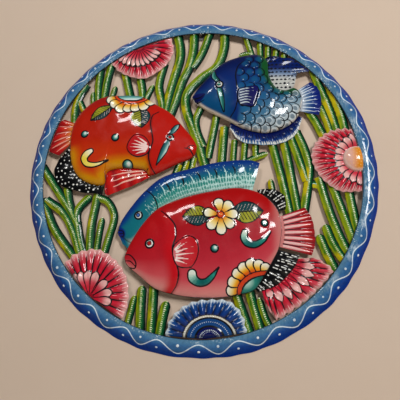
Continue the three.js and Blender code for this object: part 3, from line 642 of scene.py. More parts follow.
def weed_lines(name, strands):
    """The strands' ridge lines as edges, with their half width and ridge height at each point."""
    places, edges, half, ridge, beaded = [], [], [], [], []
    for width, path, *ending in strands:
        full = np.array([(*point, LOW)[:3] for point in path], float)
        length = np.linalg.norm(np.diff(full[:, :2], axis=0), axis=1).sum()
        line = curve(full, max(6, int(length / LINE_STEP)), even=True)
        run = np.linspace(0, length, len(line))
        narrow = np.ones(len(line))
        if ending:
            from_end = run if ending == [OPEN_START] else length - run
            narrow = np.sqrt(np.clip(1 - (1 - np.minimum(from_end + 0.7, TIP) / TIP) ** 2, 0, 1))
        first = len(places)
        places += [(x * MM, z * MM, 0) for x, z in line[:, :2]]
        edges += [(first + i, first + i + 1) for i in range(len(line) - 1)]
        half += list(narrow * width / 2 * MM)
        ridge += list((STRAND_EDGE + (line[:, 2] - STRAND_EDGE) * narrow) * MM)
        beaded += [float(path[0][-1] != FLAT)] * len(line)
    mesh = bpy.data.meshes.new(name)
    mesh.from_pydata(places, edges, [])
    for field, values in (("half", half), ("ridge", ridge), ("beaded", beaded)):
        store(mesh, field, values)
    return mesh


def weed_enamel():
    material, shader, shade = new_material("weed_green_enamel", coat=0.3)
    across = (shade.noise(5, 3, 51) - 0.5) * 0.35 - shade.field("across")
    brush = shade.noise(9, 4, 52, (1, 1, 0.35))
    lit = brush.step(0.35, 0.65).between((56, 112, 18), (128, 154, 20))
    lit = lit.mixed((212, 186, 6), shade.noise(45, 1, 56).step(0.54, 0.68, 0, 0.85))
    # A pale band beside the ridge on the yellow green flank: painted highlight.
    lit = lit.mixed((180, 192, 96), across.step(-0.28, -0.02, 0, 0.6))
    lit = lit.mixed((188, 182, 20), across.step(-0.45, -0.8, 0, 0.5))
    deep = across.step(0.15, 0.6).between((6, 106, 42), (0, 66, 36))
    # Near black towards the dark flank's outer edge: painted shade.
    deep = deep.mixed((0, 14, 14), across.step(0.5, 0.92, 0, 0.95))
    colour = deep.mixed(lit, across.step(-0.02, -0.14))
    flecks = shade.noise(1.5, 2, 53).step(0.57, 0.65, 0, 0.9)
    flecks = flecks * across.step(-0.1, 0.04) * across.step(0.42, 0.2)  # beside the ridge
    colour = colour.mixed((190, 216, 156), flecks)
    # A dark line along the yellow green flank's outer edge: painted shade.
    colour = colour.mixed((10, 30, 14), across.step(-0.84, -1.0, 0, 0.85))
    bare = shade.noise(14, 3, 57).step(0.3, 0.7).between((100, 96, 94), (130, 110, 92))
    colour = colour.mixed(bare, shade.field("skin").step(-0.05, -0.35))
    height = shade.noise(5, 3, 54) + brush * 0.3
    feed(shader, Base_Color=colour, Roughness=0.34 + 0.25 * brush, Normal=height.bump(0.8, 1.0))
    return material


strand_tree = weed_tree()
strand_values = {
    "Edge height": STRAND_EDGE * MM, "Sheet": STRAND_SHEET * MM, "Bead step": BEAD_STEP * MM,
    "Bead size": BEAD_SIZE * MM, "Enamel": weed_enamel(),
    "Bead paint": dab_paint("weed_ridge_dabs", (232, 240, 200), (176, 196, 112))}
for seed, (clump, strands) in enumerate(WEEDS.items()):
    weeds = grown(clump + "_painted", weed_lines(clump, strands), strand_tree,
                  {"Seed": seed, **strand_values})
    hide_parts(clump)
    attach(weeds, "root")

# Anemones and scallop shell
# Fans of sheet cut to petals and creased between them, held under the rim's lip or the pink fish's
# fin. The petals are brushed from red at the root to pale pink at the tip.

FIN_TOP = 11.8
BODY_TOP = 13.1
FIGURE_SHEET = 1.0
FIGURE_CREASE = 42  # degrees above which an edge stays crisp
MERGED = 1e-5
RIM_INSIDE = RIM_OPENING * cos(pi / 54) - 0.3
ANEMONE_RISE, SHELL_RISE = 6, 7
PETAL_RISE, PETAL_NOTCH = 2.4, 2.6
FINE = 10  # rows of the mesh between two creases
DENT_LENGTH = 30.0
UNPAINTED = 60.0  # distance to a stroke, before there is one

WHITE, INK = (236, 236, 228), (12, 12, 18)
DEEP_ROSE, ROSE, PALE_ROSE, BLUSH = (146, 8, 28), (202, 26, 50), (208, 74, 88), (236, 178, 172)


def enamel(name, seed, white=WHITE, ink=INK, dents=0.5, coat=0.55):
    """Brushed enamel under varnish. The ground fades over the piece; the motifs lie inside their
    outlines, then come white strokes and the dark liner, all with a hand's wobble."""
    material, shader, shade = new_material(name, coat=coat)
    wobble = (shade.noise(3.5, 3, seed) - 0.5) * 0.7
    strokes = shade.noise(5, 4, seed + 1)
    patches = shade.noise(28, 2, seed + 2)
    value = 0.8 + 0.22 * strokes + 0.18 * patches
    colour = shade.field("ground", "Color").mixed((0, 0, 0), (1 - value).step(0.0, 1.0))
    motif = shade.field("motif", "Color")
    for layer, over, spread in (("motif", motif, 0.0), ("white", white, 0.1), ("ink", ink, 0.3)):
        edge = shade.field(layer + "_edge") + wobble
        colour = colour.mixed(over, edge.step(spread + 0.3, spread - 0.3))
    height = shade.noise(16, 1.5, seed + 3) * dents + strokes * 0.12
    feed(shader, Base_Color=colour, Roughness=0.24 + 0.2 * strokes, Normal=height.bump(1.0, 1.1))
    return material


def to_area(x, z, outline):
    """Distance to an outline, below nought inside it."""
    outline = np.asarray(outline, float)
    closed = np.concatenate([outline, outline[:1]])
    inside = np.zeros(x.shape, bool)
    for (ax, az), (bx, bz) in zip(closed[:-1], closed[1:]):
        crosses = (az > z) != (bz > z)
        if az != bz:
            inside ^= crosses & (x < (bx - ax) * (z - az) / (bz - az) + ax)
    away = to_line(x, z, closed)
    return np.where(inside, -away, away)


def shaded(value, colours):
    """Colours spread evenly from 0 to 1."""
    stops = np.linspace(0, 1, len(colours))
    lights = [linear(colour) for colour in colours]
    return np.stack([np.interp(value, stops, [c[i] for c in lights]) for i in range(3)], axis=-1)


class Paintwork:
    """The paint on one sheet, laid on in the painter's order: a ground that may fade, filled
    motifs, then liner and white strokes over them."""

    def __init__(self, x, z, ground):
        self.x, self.z = x, z
        self.ground = np.broadcast_to(linear(ground), (*x.shape, 3)).copy()
        self.motif = self.ground.copy()
        self.edges = {name: np.full(x.shape, UNPAINTED) for name in ("motif", "white", "ink")}
        self.lift = np.zeros(x.shape)

    def wash(self, colour, share):
        """More colour over the ground where share is high."""
        share = np.clip(share, 0, 1)[..., None]
        self.ground = self.ground * (1 - share) + linear(colour) * share

    def add(self, layer, away):
        self.edges[layer] = np.minimum(self.edges[layer], away)

    def to(self, line, half=0.0):
        return to_line(self.x, self.z, line, half)

    def from_point(self, centre):
        return np.hypot(self.x - centre[0], self.z - centre[1])

    def line(self, points, half, layer="ink"):
        """A brush line through points, half as wide as given."""
        self.add(layer, self.to(curve(points), half))

    def bowed(self, start, end, bow, half, layer="white"):
        """A brush line from start to end whose middle is drawn aside."""
        middle = ((start[0] + end[0]) / 2 + bow[0], (start[1] + end[1]) / 2 + bow[1])
        self.line([start, middle, end], half, layer)

    def dot(self, centre, radius):
        self.add("white", self.from_point(centre) - radius)

    def fill(self, away, colour, ink, raised=0.0):
        """A motif inside away = 0, over what is there, with a liner round it. Its colour runs on
        past its edge, for the hand's wobble, but less where it meets another motif."""
        margin = np.where(self.edges["motif"] > 1.2, 2.6, 0.35)
        self.motif = np.where((away < margin)[..., None], linear(colour), self.motif)
        for layer in ("white", "ink"):
            self.edges[layer] = np.maximum(self.edges[layer], -away)
        self.add("motif", away)
        if np.any(ink):
            self.add("ink", np.abs(away) - ink)
        self.lift = self.lift + raised * ease(2.5, -2.5, away)

    def outline(self, points, colour, ink, raised=0.0):
        self.fill(to_area(self.x, self.z, ring(points)), colour, ink, raised)

    def spot(self, centre, radius, colour, ink, raised=0.0):
        self.fill(self.from_point(centre) - radius, colour, ink, raised)

    def petal(self, base, tip, width, colours, ink, raised, blunt=0.85):
        """A petal from base to tip, its colours running outwards."""
        base, tip = np.array(base, float), np.array(tip, float)
        along = tip - base
        across = np.array([-along[1], along[0]]) / np.linalg.norm(along) * width / 2
        sides = [(0.0, 0.16), (0.3, 0.56), (0.65, 1.0), (0.87, blunt), (1.0, 0.0)]
        points = [base + a * along + b * across for a, b in sides]
        points += [base + a * along - b * across for a, b in sides[-2::-1]]
        out = ((self.x - base[0]) * along[0] + (self.z - base[1]) * along[1]) / (along @ along)
        thick = ink * (0.45 + 0.55 * ease(0.2, 0.6, out))
        self.outline(points, shaded(out, colours), thick, raised)

    def make(self, name, slot, h, seed, **finish):
        """The painted piece, h in front of the wall. Its back and edges stay bare."""
        rows, columns = self.x.shape
        front = on_plaque(self.x, self.z, h).reshape(-1, 3)
        back = front + [0, FIGURE_SHEET * MM, 0]
        number = np.arange(rows * columns).reshape(rows, columns)
        quads = [number[:-1, :-1], number[1:, :-1], number[1:, 1:], number[:-1, 1:]]
        quads = np.stack(quads, axis=-1).reshape(-1, 4)
        border = [number[0, :-1], number[:-1, -1], number[-1, :0:-1], number[:0:-1, 0]]
        border = np.concatenate(border)
        after = np.roll(border, -1)
        walls = np.stack([border, after, after + len(front), border + len(front)], axis=-1)
        faces = np.concatenate([quads, quads[:, ::-1] + len(front), walls])
        mesh = bpy.data.meshes.new(name + "_painted")
        mesh.from_pydata(np.concatenate([front, back]).tolist(), [], faces.tolist())
        unpainted = np.arange(len(faces)) >= len(quads)
        mesh.polygons.foreach_set("material_index", unpainted.astype(np.int32))
        for field, values in (("ground", self.ground), ("motif", self.motif)):
            opaque = np.concatenate([values, np.ones((rows, columns, 1))], axis=-1)
            store(mesh, field, [opaque, opaque], "FLOAT_COLOR")
        for layer, away in self.edges.items():
            store(mesh, layer + "_edge", [away, away])
        piece = finished(name + "_painted", mesh, FIGURE_CREASE, MERGED)
        for material in (enamel(name + "_enamel", seed, **finish), BACK):
            mesh.materials.append(material)
        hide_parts(name)
        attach(piece, "root")


def inside_rim(places):
    radius = np.linalg.norm(places, axis=1, keepdims=True)
    return places * np.minimum(1, RIM_INSIDE / radius)


def near_rim(x, z, h):
    return np.minimum(h, FIN_TOP + np.maximum(0, RIM_INSIDE - np.hypot(x, z)))


def ruled(first, second, share):
    """Places between two edges, one row for each pair of points."""
    grid = first[:, None, :] * (1 - share[..., None]) + second[:, None, :] * share[..., None]
    return grid[..., 0], grid[..., 1]


def creased(turns):
    """0 in a crease and 1 on the crest between two, as often as turns counts."""
    return (1 - np.cos(2 * pi * turns)) / 2


def beaten(x, z, depth):
    """The shallow unevenness of hammered sheet: waves that cross at uneven angles and lengths."""
    waves = ((1.0, 0.31, 0.4), (-0.57, 1.13, 2.1), (0.83, -0.62, 4.0), (0.37, 0.71, 5.2),
             (-0.9, 0.53, 1.1))
    bent = 0.9 * np.sin(x / 37 + 1) + 0.8 * np.sin(z / 29)
    turns = [(a * x + b * z) * 2 * pi / DENT_LENGTH + c + bent for a, b, c in waves]
    return depth * sum(np.sin(turn) for turn in turns) / len(waves)


def petal_fan(outline, petals, rise, centre=None, roots=None, flat_to=0.12, columns=34):
    """Grid of a fan of petals: x, z, h, the crests between the creases, and the share outwards."""
    rows = 2 * petals * FINE
    u = np.linspace(0, 1, rows + 1)[:, None]
    w = np.linspace(0, 1, columns)[None, :] * np.ones_like(u)
    rimmed = inside_rim(curve(outline, rows, even=True))
    inner = curve(roots, rows, even=True) if roots else np.full((rows + 1, 2), centre, float)
    first = inside_rim(inner)
    ray = rimmed - first
    reach = np.linalg.norm(ray, axis=1, keepdims=True)
    notch = PETAL_NOTCH * (1 - np.abs(np.sin(pi * u * petals))) ** 0.7
    x, z = ruled(first, first + ray * (1 - notch / reach), w)
    shown = np.maximum(0, w - flat_to) / (1 - flat_to)
    crest = creased(petals * u) * np.ones_like(w)
    swell = rise * np.sin(pi * shown) ** 0.8 + PETAL_RISE * np.minimum(1, shown * 1.3) * crest
    level = LOW if roots else FIN_TOP
    lift = (FIN_TOP - level) * np.minimum(1, 3 * shown)
    begun = ease(0, 1, 2 * petals * u) if roots else 1
    return x, z, near_rim(x, z, level + (lift + swell) * begun), crest, w


def fan_creases(paint, petals, start, end, half):
    """Liner down the creases between the petals, from one share of their length to another."""
    columns = paint.x.shape[1]
    low, high = int(start * (columns - 1)), int(end * (columns - 1))
    for row in range(2 * FINE, 2 * FINE * petals, 2 * FINE):
        ray = np.stack([paint.x[row, low:high + 1], paint.z[row, low:high + 1]], axis=1)[::4]
        paint.add("ink", paint.to(ray, [0.4 * half, half, 0.3 * half]))


def arc(centre, wide, tall, degrees):
    """Points on an ellipse round the centre."""
    return [(centre[0] + wide * cos(radians(a)), centre[1] + tall * sin(radians(a)))
            for a in degrees]


def from_middle(middle, tips, share):
    """The root and tip of each petal in a ring of them, all pointing away from the middle."""
    middle = np.array(middle, float)
    return [(middle + (np.array(tip) - middle) * share, tip) for tip in tips]


def anemone(name, outline, petals, seed, inner, inner_look, fade=1.8, **where):
    """A fan of petals with smaller ones painted on it, given by their roots and tips."""
    x, z, h, crest, w = petal_fan(outline, petals, ANEMONE_RISE, **where)
    paint = Paintwork(x, z, shaded(w**fade, [DEEP_ROSE, ROSE, ROSE, ROSE, ROSE, PALE_ROSE, BLUSH]))
    # Deep rose in the creases between the petals: painted shade.
    paint.wash(DEEP_ROSE, 0.8 * (1 - crest) ** 2 * ease(0.97, 0.8, w**fade))
    fan_creases(paint, petals, 0.4, 0.9, 1.0)
    brush = np.random.default_rng(seed)
    for k in range(3 * petals):  # dry strokes from the tips inwards
        row = min(int((k + brush.uniform(0.2, 0.8)) / (3 * petals) * (len(x) - 1)), len(x) - 1)
        first = int((w.shape[1] - 1) * brush.uniform(0.76, 0.92))
        streak = np.stack([x[row, first:], z[row, first:]], axis=1)[::3]
        if len(streak) > 1:
            paint.add("white", paint.to(streak, [0.1, brush.uniform(0.2, 0.6)]))
    for root, tip in inner:
        paint.petal(root, tip, raised=1.2, **inner_look)
    paint.make(name, "anemone_rose", h + paint.lift + beaten(x, z, 0.2), 60 + seed,
               white=(240, 206, 200))


ROSE_PETALS = [ROSE, ROSE, PALE_ROSE, BLUSH, BLUSH]
POINTED = {"width": 12.5, "ink": 0.45, "blunt": 0.55,
           "colours": [ROSE, ROSE, PALE_ROSE, BLUSH, BLUSH, BLUSH]}


def rounded(width):
    return {"width": width, "ink": 0.75, "colours": ROSE_PETALS}


anemone("upper_left_anemone",
        [(-165, 216), (-151, 198), (-127, 184), (-99, 179), (-76, 191), (-56, 210), (-46, 235),
         (-52, 267)], 13, 1,
        from_middle((-113, 247), arc((-113, 247), 49, 47, range(-136, -24, 12)), 0.2),
        rounded(10), centre=(-113, 247))
anemone("right_anemone",
        [(266, 67), (249, 71), (224, 67), (201, 51), (189, 28), (191, 4), (205, -21), (231, -41),
         (266, -42)], 18, 2,
        from_middle((272, 14), arc((272, 14), 47, 47, range(112, 260, 16)), 0.35),
        rounded(13), centre=(272, 14), flat_to=0.42)
anemone("lower_left_anemone",
        [(-223, -158), (-208, -141), (-190, -133), (-165, -131), (-135, -148), (-116, -174),
         (-110, -203), (-113, -228), (-122, -244)], 13, 3,
        from_middle((-176, -208), [(-201, -171), (-190, -168), (-177, -166), (-162, -168),
                                   (-145, -182), (-136, -199), (-136, -215)], 0.2),
        rounded(13.5), centre=(-176, -208), fade=1.2)
anemone("lower_right_anemone",
        [(185, -147), (206, -162), (213, -175), (194, -197), (162, -223), (126, -245), (103, -222)],
        12, 4,
        [((156, -151), (175, -148)), ((152, -157), (180, -163)), ((148, -164), (178, -176)),
         ((142, -170), (170, -190)), ((134, -177), (158, -201)), ((124, -183), (143, -210)),
         ((114, -189), (128, -214)), ((104, -192), (113, -208))],
        POINTED, fade=0.95,
        roots=[(157, -149), (151, -158), (141, -170), (128, -180), (113, -188), (97, -194)])

SHELL_RIBS, SHELL_COLUMNS = 12, 44
STROKE_COLUMNS = 5  # a white stroke on a rib's side; the one on its crest is longer
x, z, h, crest, w = petal_fan(
    [(-52, -268), (-48, -247), (-33, -227), (-10, -214), (20, -210), (48, -213), (66, -230),
     (73, -252), (74, -264)], SHELL_RIBS, SHELL_RISE, centre=(10, -272), columns=SHELL_COLUMNS)
paint = Paintwork(x, z, shaded(w, [(6, 24, 74), (8, 50, 124), (2, 38, 112), (6, 56, 128),
                                   (24, 88, 150)]))
paint.wash((196, 212, 222), 0.95 * ease(0.93, 1.0, w + 0.04 * crest))
# Darker blue in the creases between the ribs: painted shade.
paint.wash((4, 12, 60), 0.75 * (1 - crest) ** 2 * ease(0.98, 0.85, w))
fan_creases(paint, SHELL_RIBS, 0.55, 0.95, 0.4)
for k in range(3 * SHELL_RIBS):
    row = int((k + 0.5) / (3 * SHELL_RIBS) * (len(x) - 1))
    first = SHELL_COLUMNS - STROKE_COLUMNS - 4 * (k % 3 == 1)
    stroke = np.stack([x[row, first:], z[row, first:]], axis=1)
    paint.add("white", paint.to(stroke, [0.1, 0.5, 0.9]))
# The hinge: a pale beaded arch over a blue one and a dark middle
HINGE = np.array((17, -268))
HINGE_OVAL = np.array((1.08, 0.9))
ARCH_OUT, ARCH_IN, DARK_OUT, ARCH_BEADS = 38.5, 33.5, 20, 34
hinge = np.hypot((x - HINGE[0]) / HINGE_OVAL[0], (z - HINGE[1]) / HINGE_OVAL[1])


def on_hinge(radius, angle):
    return HINGE + radius * (HINGE_OVAL * (cos(angle), sin(angle)))


pale = shaded((z - HINGE[1]) / 39, [(190, 190, 180), (232, 224, 206)])
paint.fill(hinge - ARCH_OUT, pale, 0.5, 1.6)
paint.fill(hinge - ARCH_IN, (16, 66, 124), 1.1)
paint.fill(hinge - DARK_OUT, (2, 14, 84), 1.2, 1.0)
for ring_at, size, number in ((27, 0.7, 26), (14, 0.8, 17), (11, 0.6, 13)):
    for angle in np.linspace(0.15, pi - 0.15, number):
        paint.dot(on_hinge(ring_at, angle), size)
for angle in np.linspace(0.04, pi - 0.04, ARCH_BEADS):
    bead = [on_hinge(ARCH_IN + 0.5, angle), on_hinge(ARCH_OUT - 1, angle + 0.05)]
    paint.lift += 1.1 * ease(1.5, 0, paint.to(bead))
over = ease(42, 36, hinge)
h = h * (1 - over) + (FIN_TOP + 4.5 - 0.05 * hinge) * over + paint.lift
paint.make("scallop_shell", "shell_blue", near_rim(x, z, h), 71, white=(216, 226, 230))

# The right anemone's middle: half a dome of sheet against the rim, with a dab pattern.
EYE_PLACE, EYE_RADIUS, EYE_RISE = np.array((262, 15)), 22, 11
EYE_ROWS, EYE_COLUMNS, EYE_DABS = 81, 26, 40
far = np.hypot(*EYE_PLACE)
hub = EYE_PLACE * RIM_INSIDE / far
opening = np.arccos((RIM_INSIDE**2 - far**2 - EYE_RADIUS**2) / (2 * far * EYE_RADIUS))
turns = np.arctan2(EYE_PLACE[1], EYE_PLACE[0]) + np.linspace(opening, 2 * pi - opening, EYE_ROWS)
x, z = ruled(np.repeat([hub], EYE_ROWS, 0), EYE_PLACE + around(EYE_RADIUS, turns),
             np.linspace(0, 1, EYE_COLUMNS)[None, :] * np.ones((EYE_ROWS, 1)))
paint = Paintwork(x, z, (226, 140, 30))
away = np.minimum(1, paint.from_point(EYE_PLACE) / EYE_RADIUS)
paint.wash((228, 176, 160), ease(0.2, 0.85, (EYE_PLACE[0] - x) / EYE_RADIUS + 0.25))
paint.wash((240, 214, 200), ease(0.75, 0.98, away))
for k in range(EYE_DABS):  # a spiral that fills the disc evenly
    paint.dot(EYE_PLACE + around(18 * np.sqrt(k / EYE_DABS), 2.4 * k), 0.7)
paint.make("right_anemone_eye", "eye_orange", BODY_TOP + EYE_RISE * np.sqrt(1 - away**2), 72,
           white=(240, 190, 120))

# Fins
# Fans of sheet pleated from root to edge. Their flat roots run in under the fish.

TUCK = 8.5
PLEAT = 2.2
FIN_CROWN = 2.5
FIN_COLUMNS = 30
SCARLET, CRIMSON, BLACK = (196, 24, 20), (150, 14, 22), (5, 5, 7)


class Fin(Paintwork):
    """A pleated sheet from its root to its edge, and its paint, whose ground runs outwards."""

    def __init__(self, root, edge, pleats, colours):
        rows = 2 * pleats * FINE
        u = np.linspace(0, 1, rows + 1)[:, None]
        first = curve(root, rows)
        second = inside_rim(curve(edge, rows))
        tuck = np.minimum(0.6, TUCK / np.linalg.norm(second - first, axis=1, keepdims=True))
        hidden = tuck * np.linspace(0, 1, 5)[:-1]
        w = np.concatenate([hidden, tuck + (1 - tuck) * np.linspace(0, 1, FIN_COLUMNS)], axis=1)
        x, z = ruled(first, second, w)
        self.shown = np.maximum(0, w - tuck) / (1 - tuck)
        self.crest = creased(pleats * u) * np.ones_like(w)
        h = FIN_TOP + FIN_CROWN * np.sin(pi * self.shown) * np.sin(pi * u)
        self.h = near_rim(x, z, h + PLEAT * self.crest * np.minimum(1, 1.4 * self.shown))
        super().__init__(x, z, shaded(self.shown, colours))

    def rays(self, count, low, high, half, layer="white", offset=0.5):
        """Brush strokes from the root outwards, between two shares of what shows."""
        for k in range(count):
            row = int((k + offset) / count * (len(self.x) - 1))
            keep = (self.shown[row] >= low - 1e-6) & (self.shown[row] <= high + 1e-6)
            ray = np.stack([self.x[row, keep], self.z[row, keep]], axis=1)[::3]
            if len(ray) > 1:
                self.add(layer, self.to(ray, half))

    def finish(self, name, slot, seed, **look):
        self.make(name, slot, self.h, seed, **look)


fin = Fin([(-215, 92), (-216, 85), (-217, 78), (-218, 71), (-219, 64)],
          [(-243, 103), (-257, 90), (-266, 66), (-266, 44), (-247, 34)], 5,
          [(214, 132, 40), (206, 70, 40), SCARLET, CRIMSON])
# Darker red in the creases between the pleats: painted shade.
fin.wash((110, 8, 14), 0.6 * (1 - fin.crest) ** 2)
fin.rays(6, 0.12, 0.9, [0.5, 0.9, 0.2])
fin.finish("red_fish_tail_fin", "fish_red", 81, white=(236, 160, 140))

fin = Fin([(-219, 50), (-217, 35), (-211, 12), (-197, -5), (-182, -12), (-168, -14)],
          [(-226, 50), (-241, 33), (-252, 8), (-243, -17), (-205, -33), (-165, -38)], 6, [BLACK])
DOTS_TRIED, DOT_GAP = 260, 4.6
dots = np.random.default_rng(7)
for k in range(DOTS_TRIED):
    place = dots.integers(4, len(fin.x) - 4), dots.integers(5, fin.x.shape[1] - 2)
    if fin.edges["white"][place] >= DOT_GAP:
        fin.dot((fin.x[place], fin.z[place]), dots.uniform(0.8, 1.6))
fin.finish("red_fish_dotted_fin", "fin_black", 82, coat=0.3)

fin = Fin([(-160, -24), (-162, -3), (-151, 10), (-122, 12), (-99, 13), (-80, -1)],
          [(-161, -32), (-156, -40), (-136, -33), (-115, -25), (-98, -17), (-84, -10)], 5,
          [SCARLET])
# Crimson in the creases between the pleats: painted shade.
fin.wash(CRIMSON, (1 - fin.crest) ** 2)
for start, end in (((-150, -6), (-92, 2)), ((-148, -16), (-90, -3)), ((-146, -26), (-92, -8))):
    fin.bowed(start, end, (0, 2), [0.4, 1.2, 1.6, 0.8])
fin.finish("red_fish_belly_fin", "fish_red", 83, white=(238, 178, 160))

fin = Fin([(116, 209), (116, 195), (116, 182), (119, 170), (127, 156), (139, 145), (156, 139)],
          [(126, 216), (150, 213), (180, 203), (197, 184), (176, 178), (172, 166), (169, 154)], 6,
          [(196, 196, 190)])
fin.wash((110, 136, 172), ease(166, 182, fin.z + 0.12 * (fin.x - 150)))
fin.wash((4, 28, 92), ease(176, 192, fin.z + 0.12 * (fin.x - 150)))
for r in range(10):
    for c in range(10):
        cx, cz = 123.5 + 7.2 * c + 1.6 * (r % 2), 146 + 7.4 * r - 0.4 * c
        length, thick = (4.6, 2.3) if c == 0 else (2.2, 1.2 + 0.35 * ((3 * r + 2 * c) % 3))
        dash = [(cx - length, cz), (cx, cz + 0.3), (cx + length, cz - 0.2)]
        fin.add("ink", fin.to(dash, [0.2, thick, 0.2]))
fin.finish("blue_fish_back_fin", "fish_blue", 84, ink=(10, 12, 30), coat=0.3)

fin = Fin([(170, 143), (172, 133), (172, 121), (170, 107)],
          [(197, 161), (210, 147), (213, 121), (208, 97)], 6,
          [(180, 188, 196), (90, 120, 156), (24, 62, 128), (8, 34, 116), (4, 20, 104)])
fin.rays(9, 0.05, 0.88, [0.9, 0.5, 0.1])
fin.finish("blue_fish_tail_fin", "fish_blue", 85, white=(214, 226, 236))

fin = Fin([(56, 95), (84, 81), (118, 73), (150, 85), (168, 101)],
          [(54, 76), (71, 53), (115, 44), (145, 48), (165, 61), (179, 92)], 8,
          [(2, 12, 66), (2, 18, 82), (4, 30, 100), (14, 56, 120), (110, 150, 180)])
fin.rays(44, 0.72, 1.0, [0.1, 1.2])
fin.rays(34, 0.2, 0.66, [0.1, 0.5, 0.1], "ink")
# Lighter blue along the pleats' crests: painted highlight.
fin.wash((26, 66, 130), 0.5 * fin.crest**6 * ease(0.2, 0.5, fin.shown) * ease(0.8, 0.6, fin.shown))
fin.finish("blue_fish_lower_fin", "fish_blue", 86, white=(226, 226, 218), coat=0.15)

fin = Fin([(127, -82), (128, -95), (128, -107), (126, -119), (123, -128)],
          [(172, -66), (182, -84), (185, -107), (184, -128), (178, -144)], 7,
          [(214, 130, 126), (212, 96, 104), (198, 40, 56), SCARLET, CRIMSON])
# Darker red in the creases between the pleats: painted shade.
fin.wash((120, 10, 22), 0.8 * (1 - fin.crest) ** 2 * ease(0.1, 0.5, fin.shown))
fin.rays(7, 0.06, 0.94, [1.5, 1.9, 0.4])
fin.rays(7, 0.02, 0.75, [0.8, 0.5, 0.2], "ink", 0.0)
fin.finish("pink_fish_tail_fin", "fish_pink", 87, white=(238, 190, 184))


def dashed_fin(name, root, edge, pleats, seed, columns):
    """A black fin with two rows of white dashes on each pleat."""
    fin = Fin(root, edge, pleats, [BLACK])
    marks = np.random.default_rng(seed)
    for a in range(2 * pleats):
        for b in range(columns):
            crest = a // 2 + 0.5 + 0.7 * ((a % 2 + 0.5) / 2 - 0.5)
            row = int(crest / pleats * (len(fin.x) - 1))
            at = 5 + int((b + 0.3 + 0.4 * marks.random()) / columns * (fin.x.shape[1] - 9))
            end = at + marks.integers(2, 5)
            if marks.random() < 0.85:
                dash = [(fin.x[row, at], fin.z[row, at]), (fin.x[row, end], fin.z[row, end])]
                fin.add("white", fin.to(dash, [marks.uniform(0.7, 1.0), marks.uniform(0.2, 0.6)]))
    fin.finish(name, "fin_black", seed)


dashed_fin("pink_fish_upper_fin", [(97, -47), (108, -52), (117, -61), (125, -74)],
           [(97, -35), (124, -35), (141, -47), (142, -69)], 4, 88, 4)
dashed_fin("pink_fish_lower_fin", [(122, -133), (111, -151), (97, -172), (84, -190)],
           [(159, -144), (149, -163), (122, -189), (92, -200)], 6, 89, 5)

# Fish
# Each fish is one sheet, domed from behind over its whole body, with the gill cover and breast fin
# chased in and the flowers, leaves and spots painted on with a dark liner.

FISH_ROWS, FISH_COLUMNS, TUCKED_COLUMNS = 230, 128, 60
DAISY_PETAL = 25

LEAF_LIGHT = [(78, 98, 24), (164, 162, 34), (116, 126, 28)]
LEAF_DARK = [(4, 40, 46), (12, 66, 70), (4, 34, 42)]
PETAL_FIRE = [(206, 50, 10), (208, 66, 12), (222, 110, 16), (234, 172, 36), (238, 218, 150),
              (240, 234, 212), (240, 234, 212)]
TEAL_DAB = [(244, 246, 238), (232, 240, 230), (120, 180, 164), (50, 132, 122), (14, 84, 84)]


def across_dome(count):
    """Shares from 0 to 1 that lie closer at the ends, where a dome is steep."""
    return (1 - np.cos(pi * np.linspace(0, 1, count)[None, :])) / 2


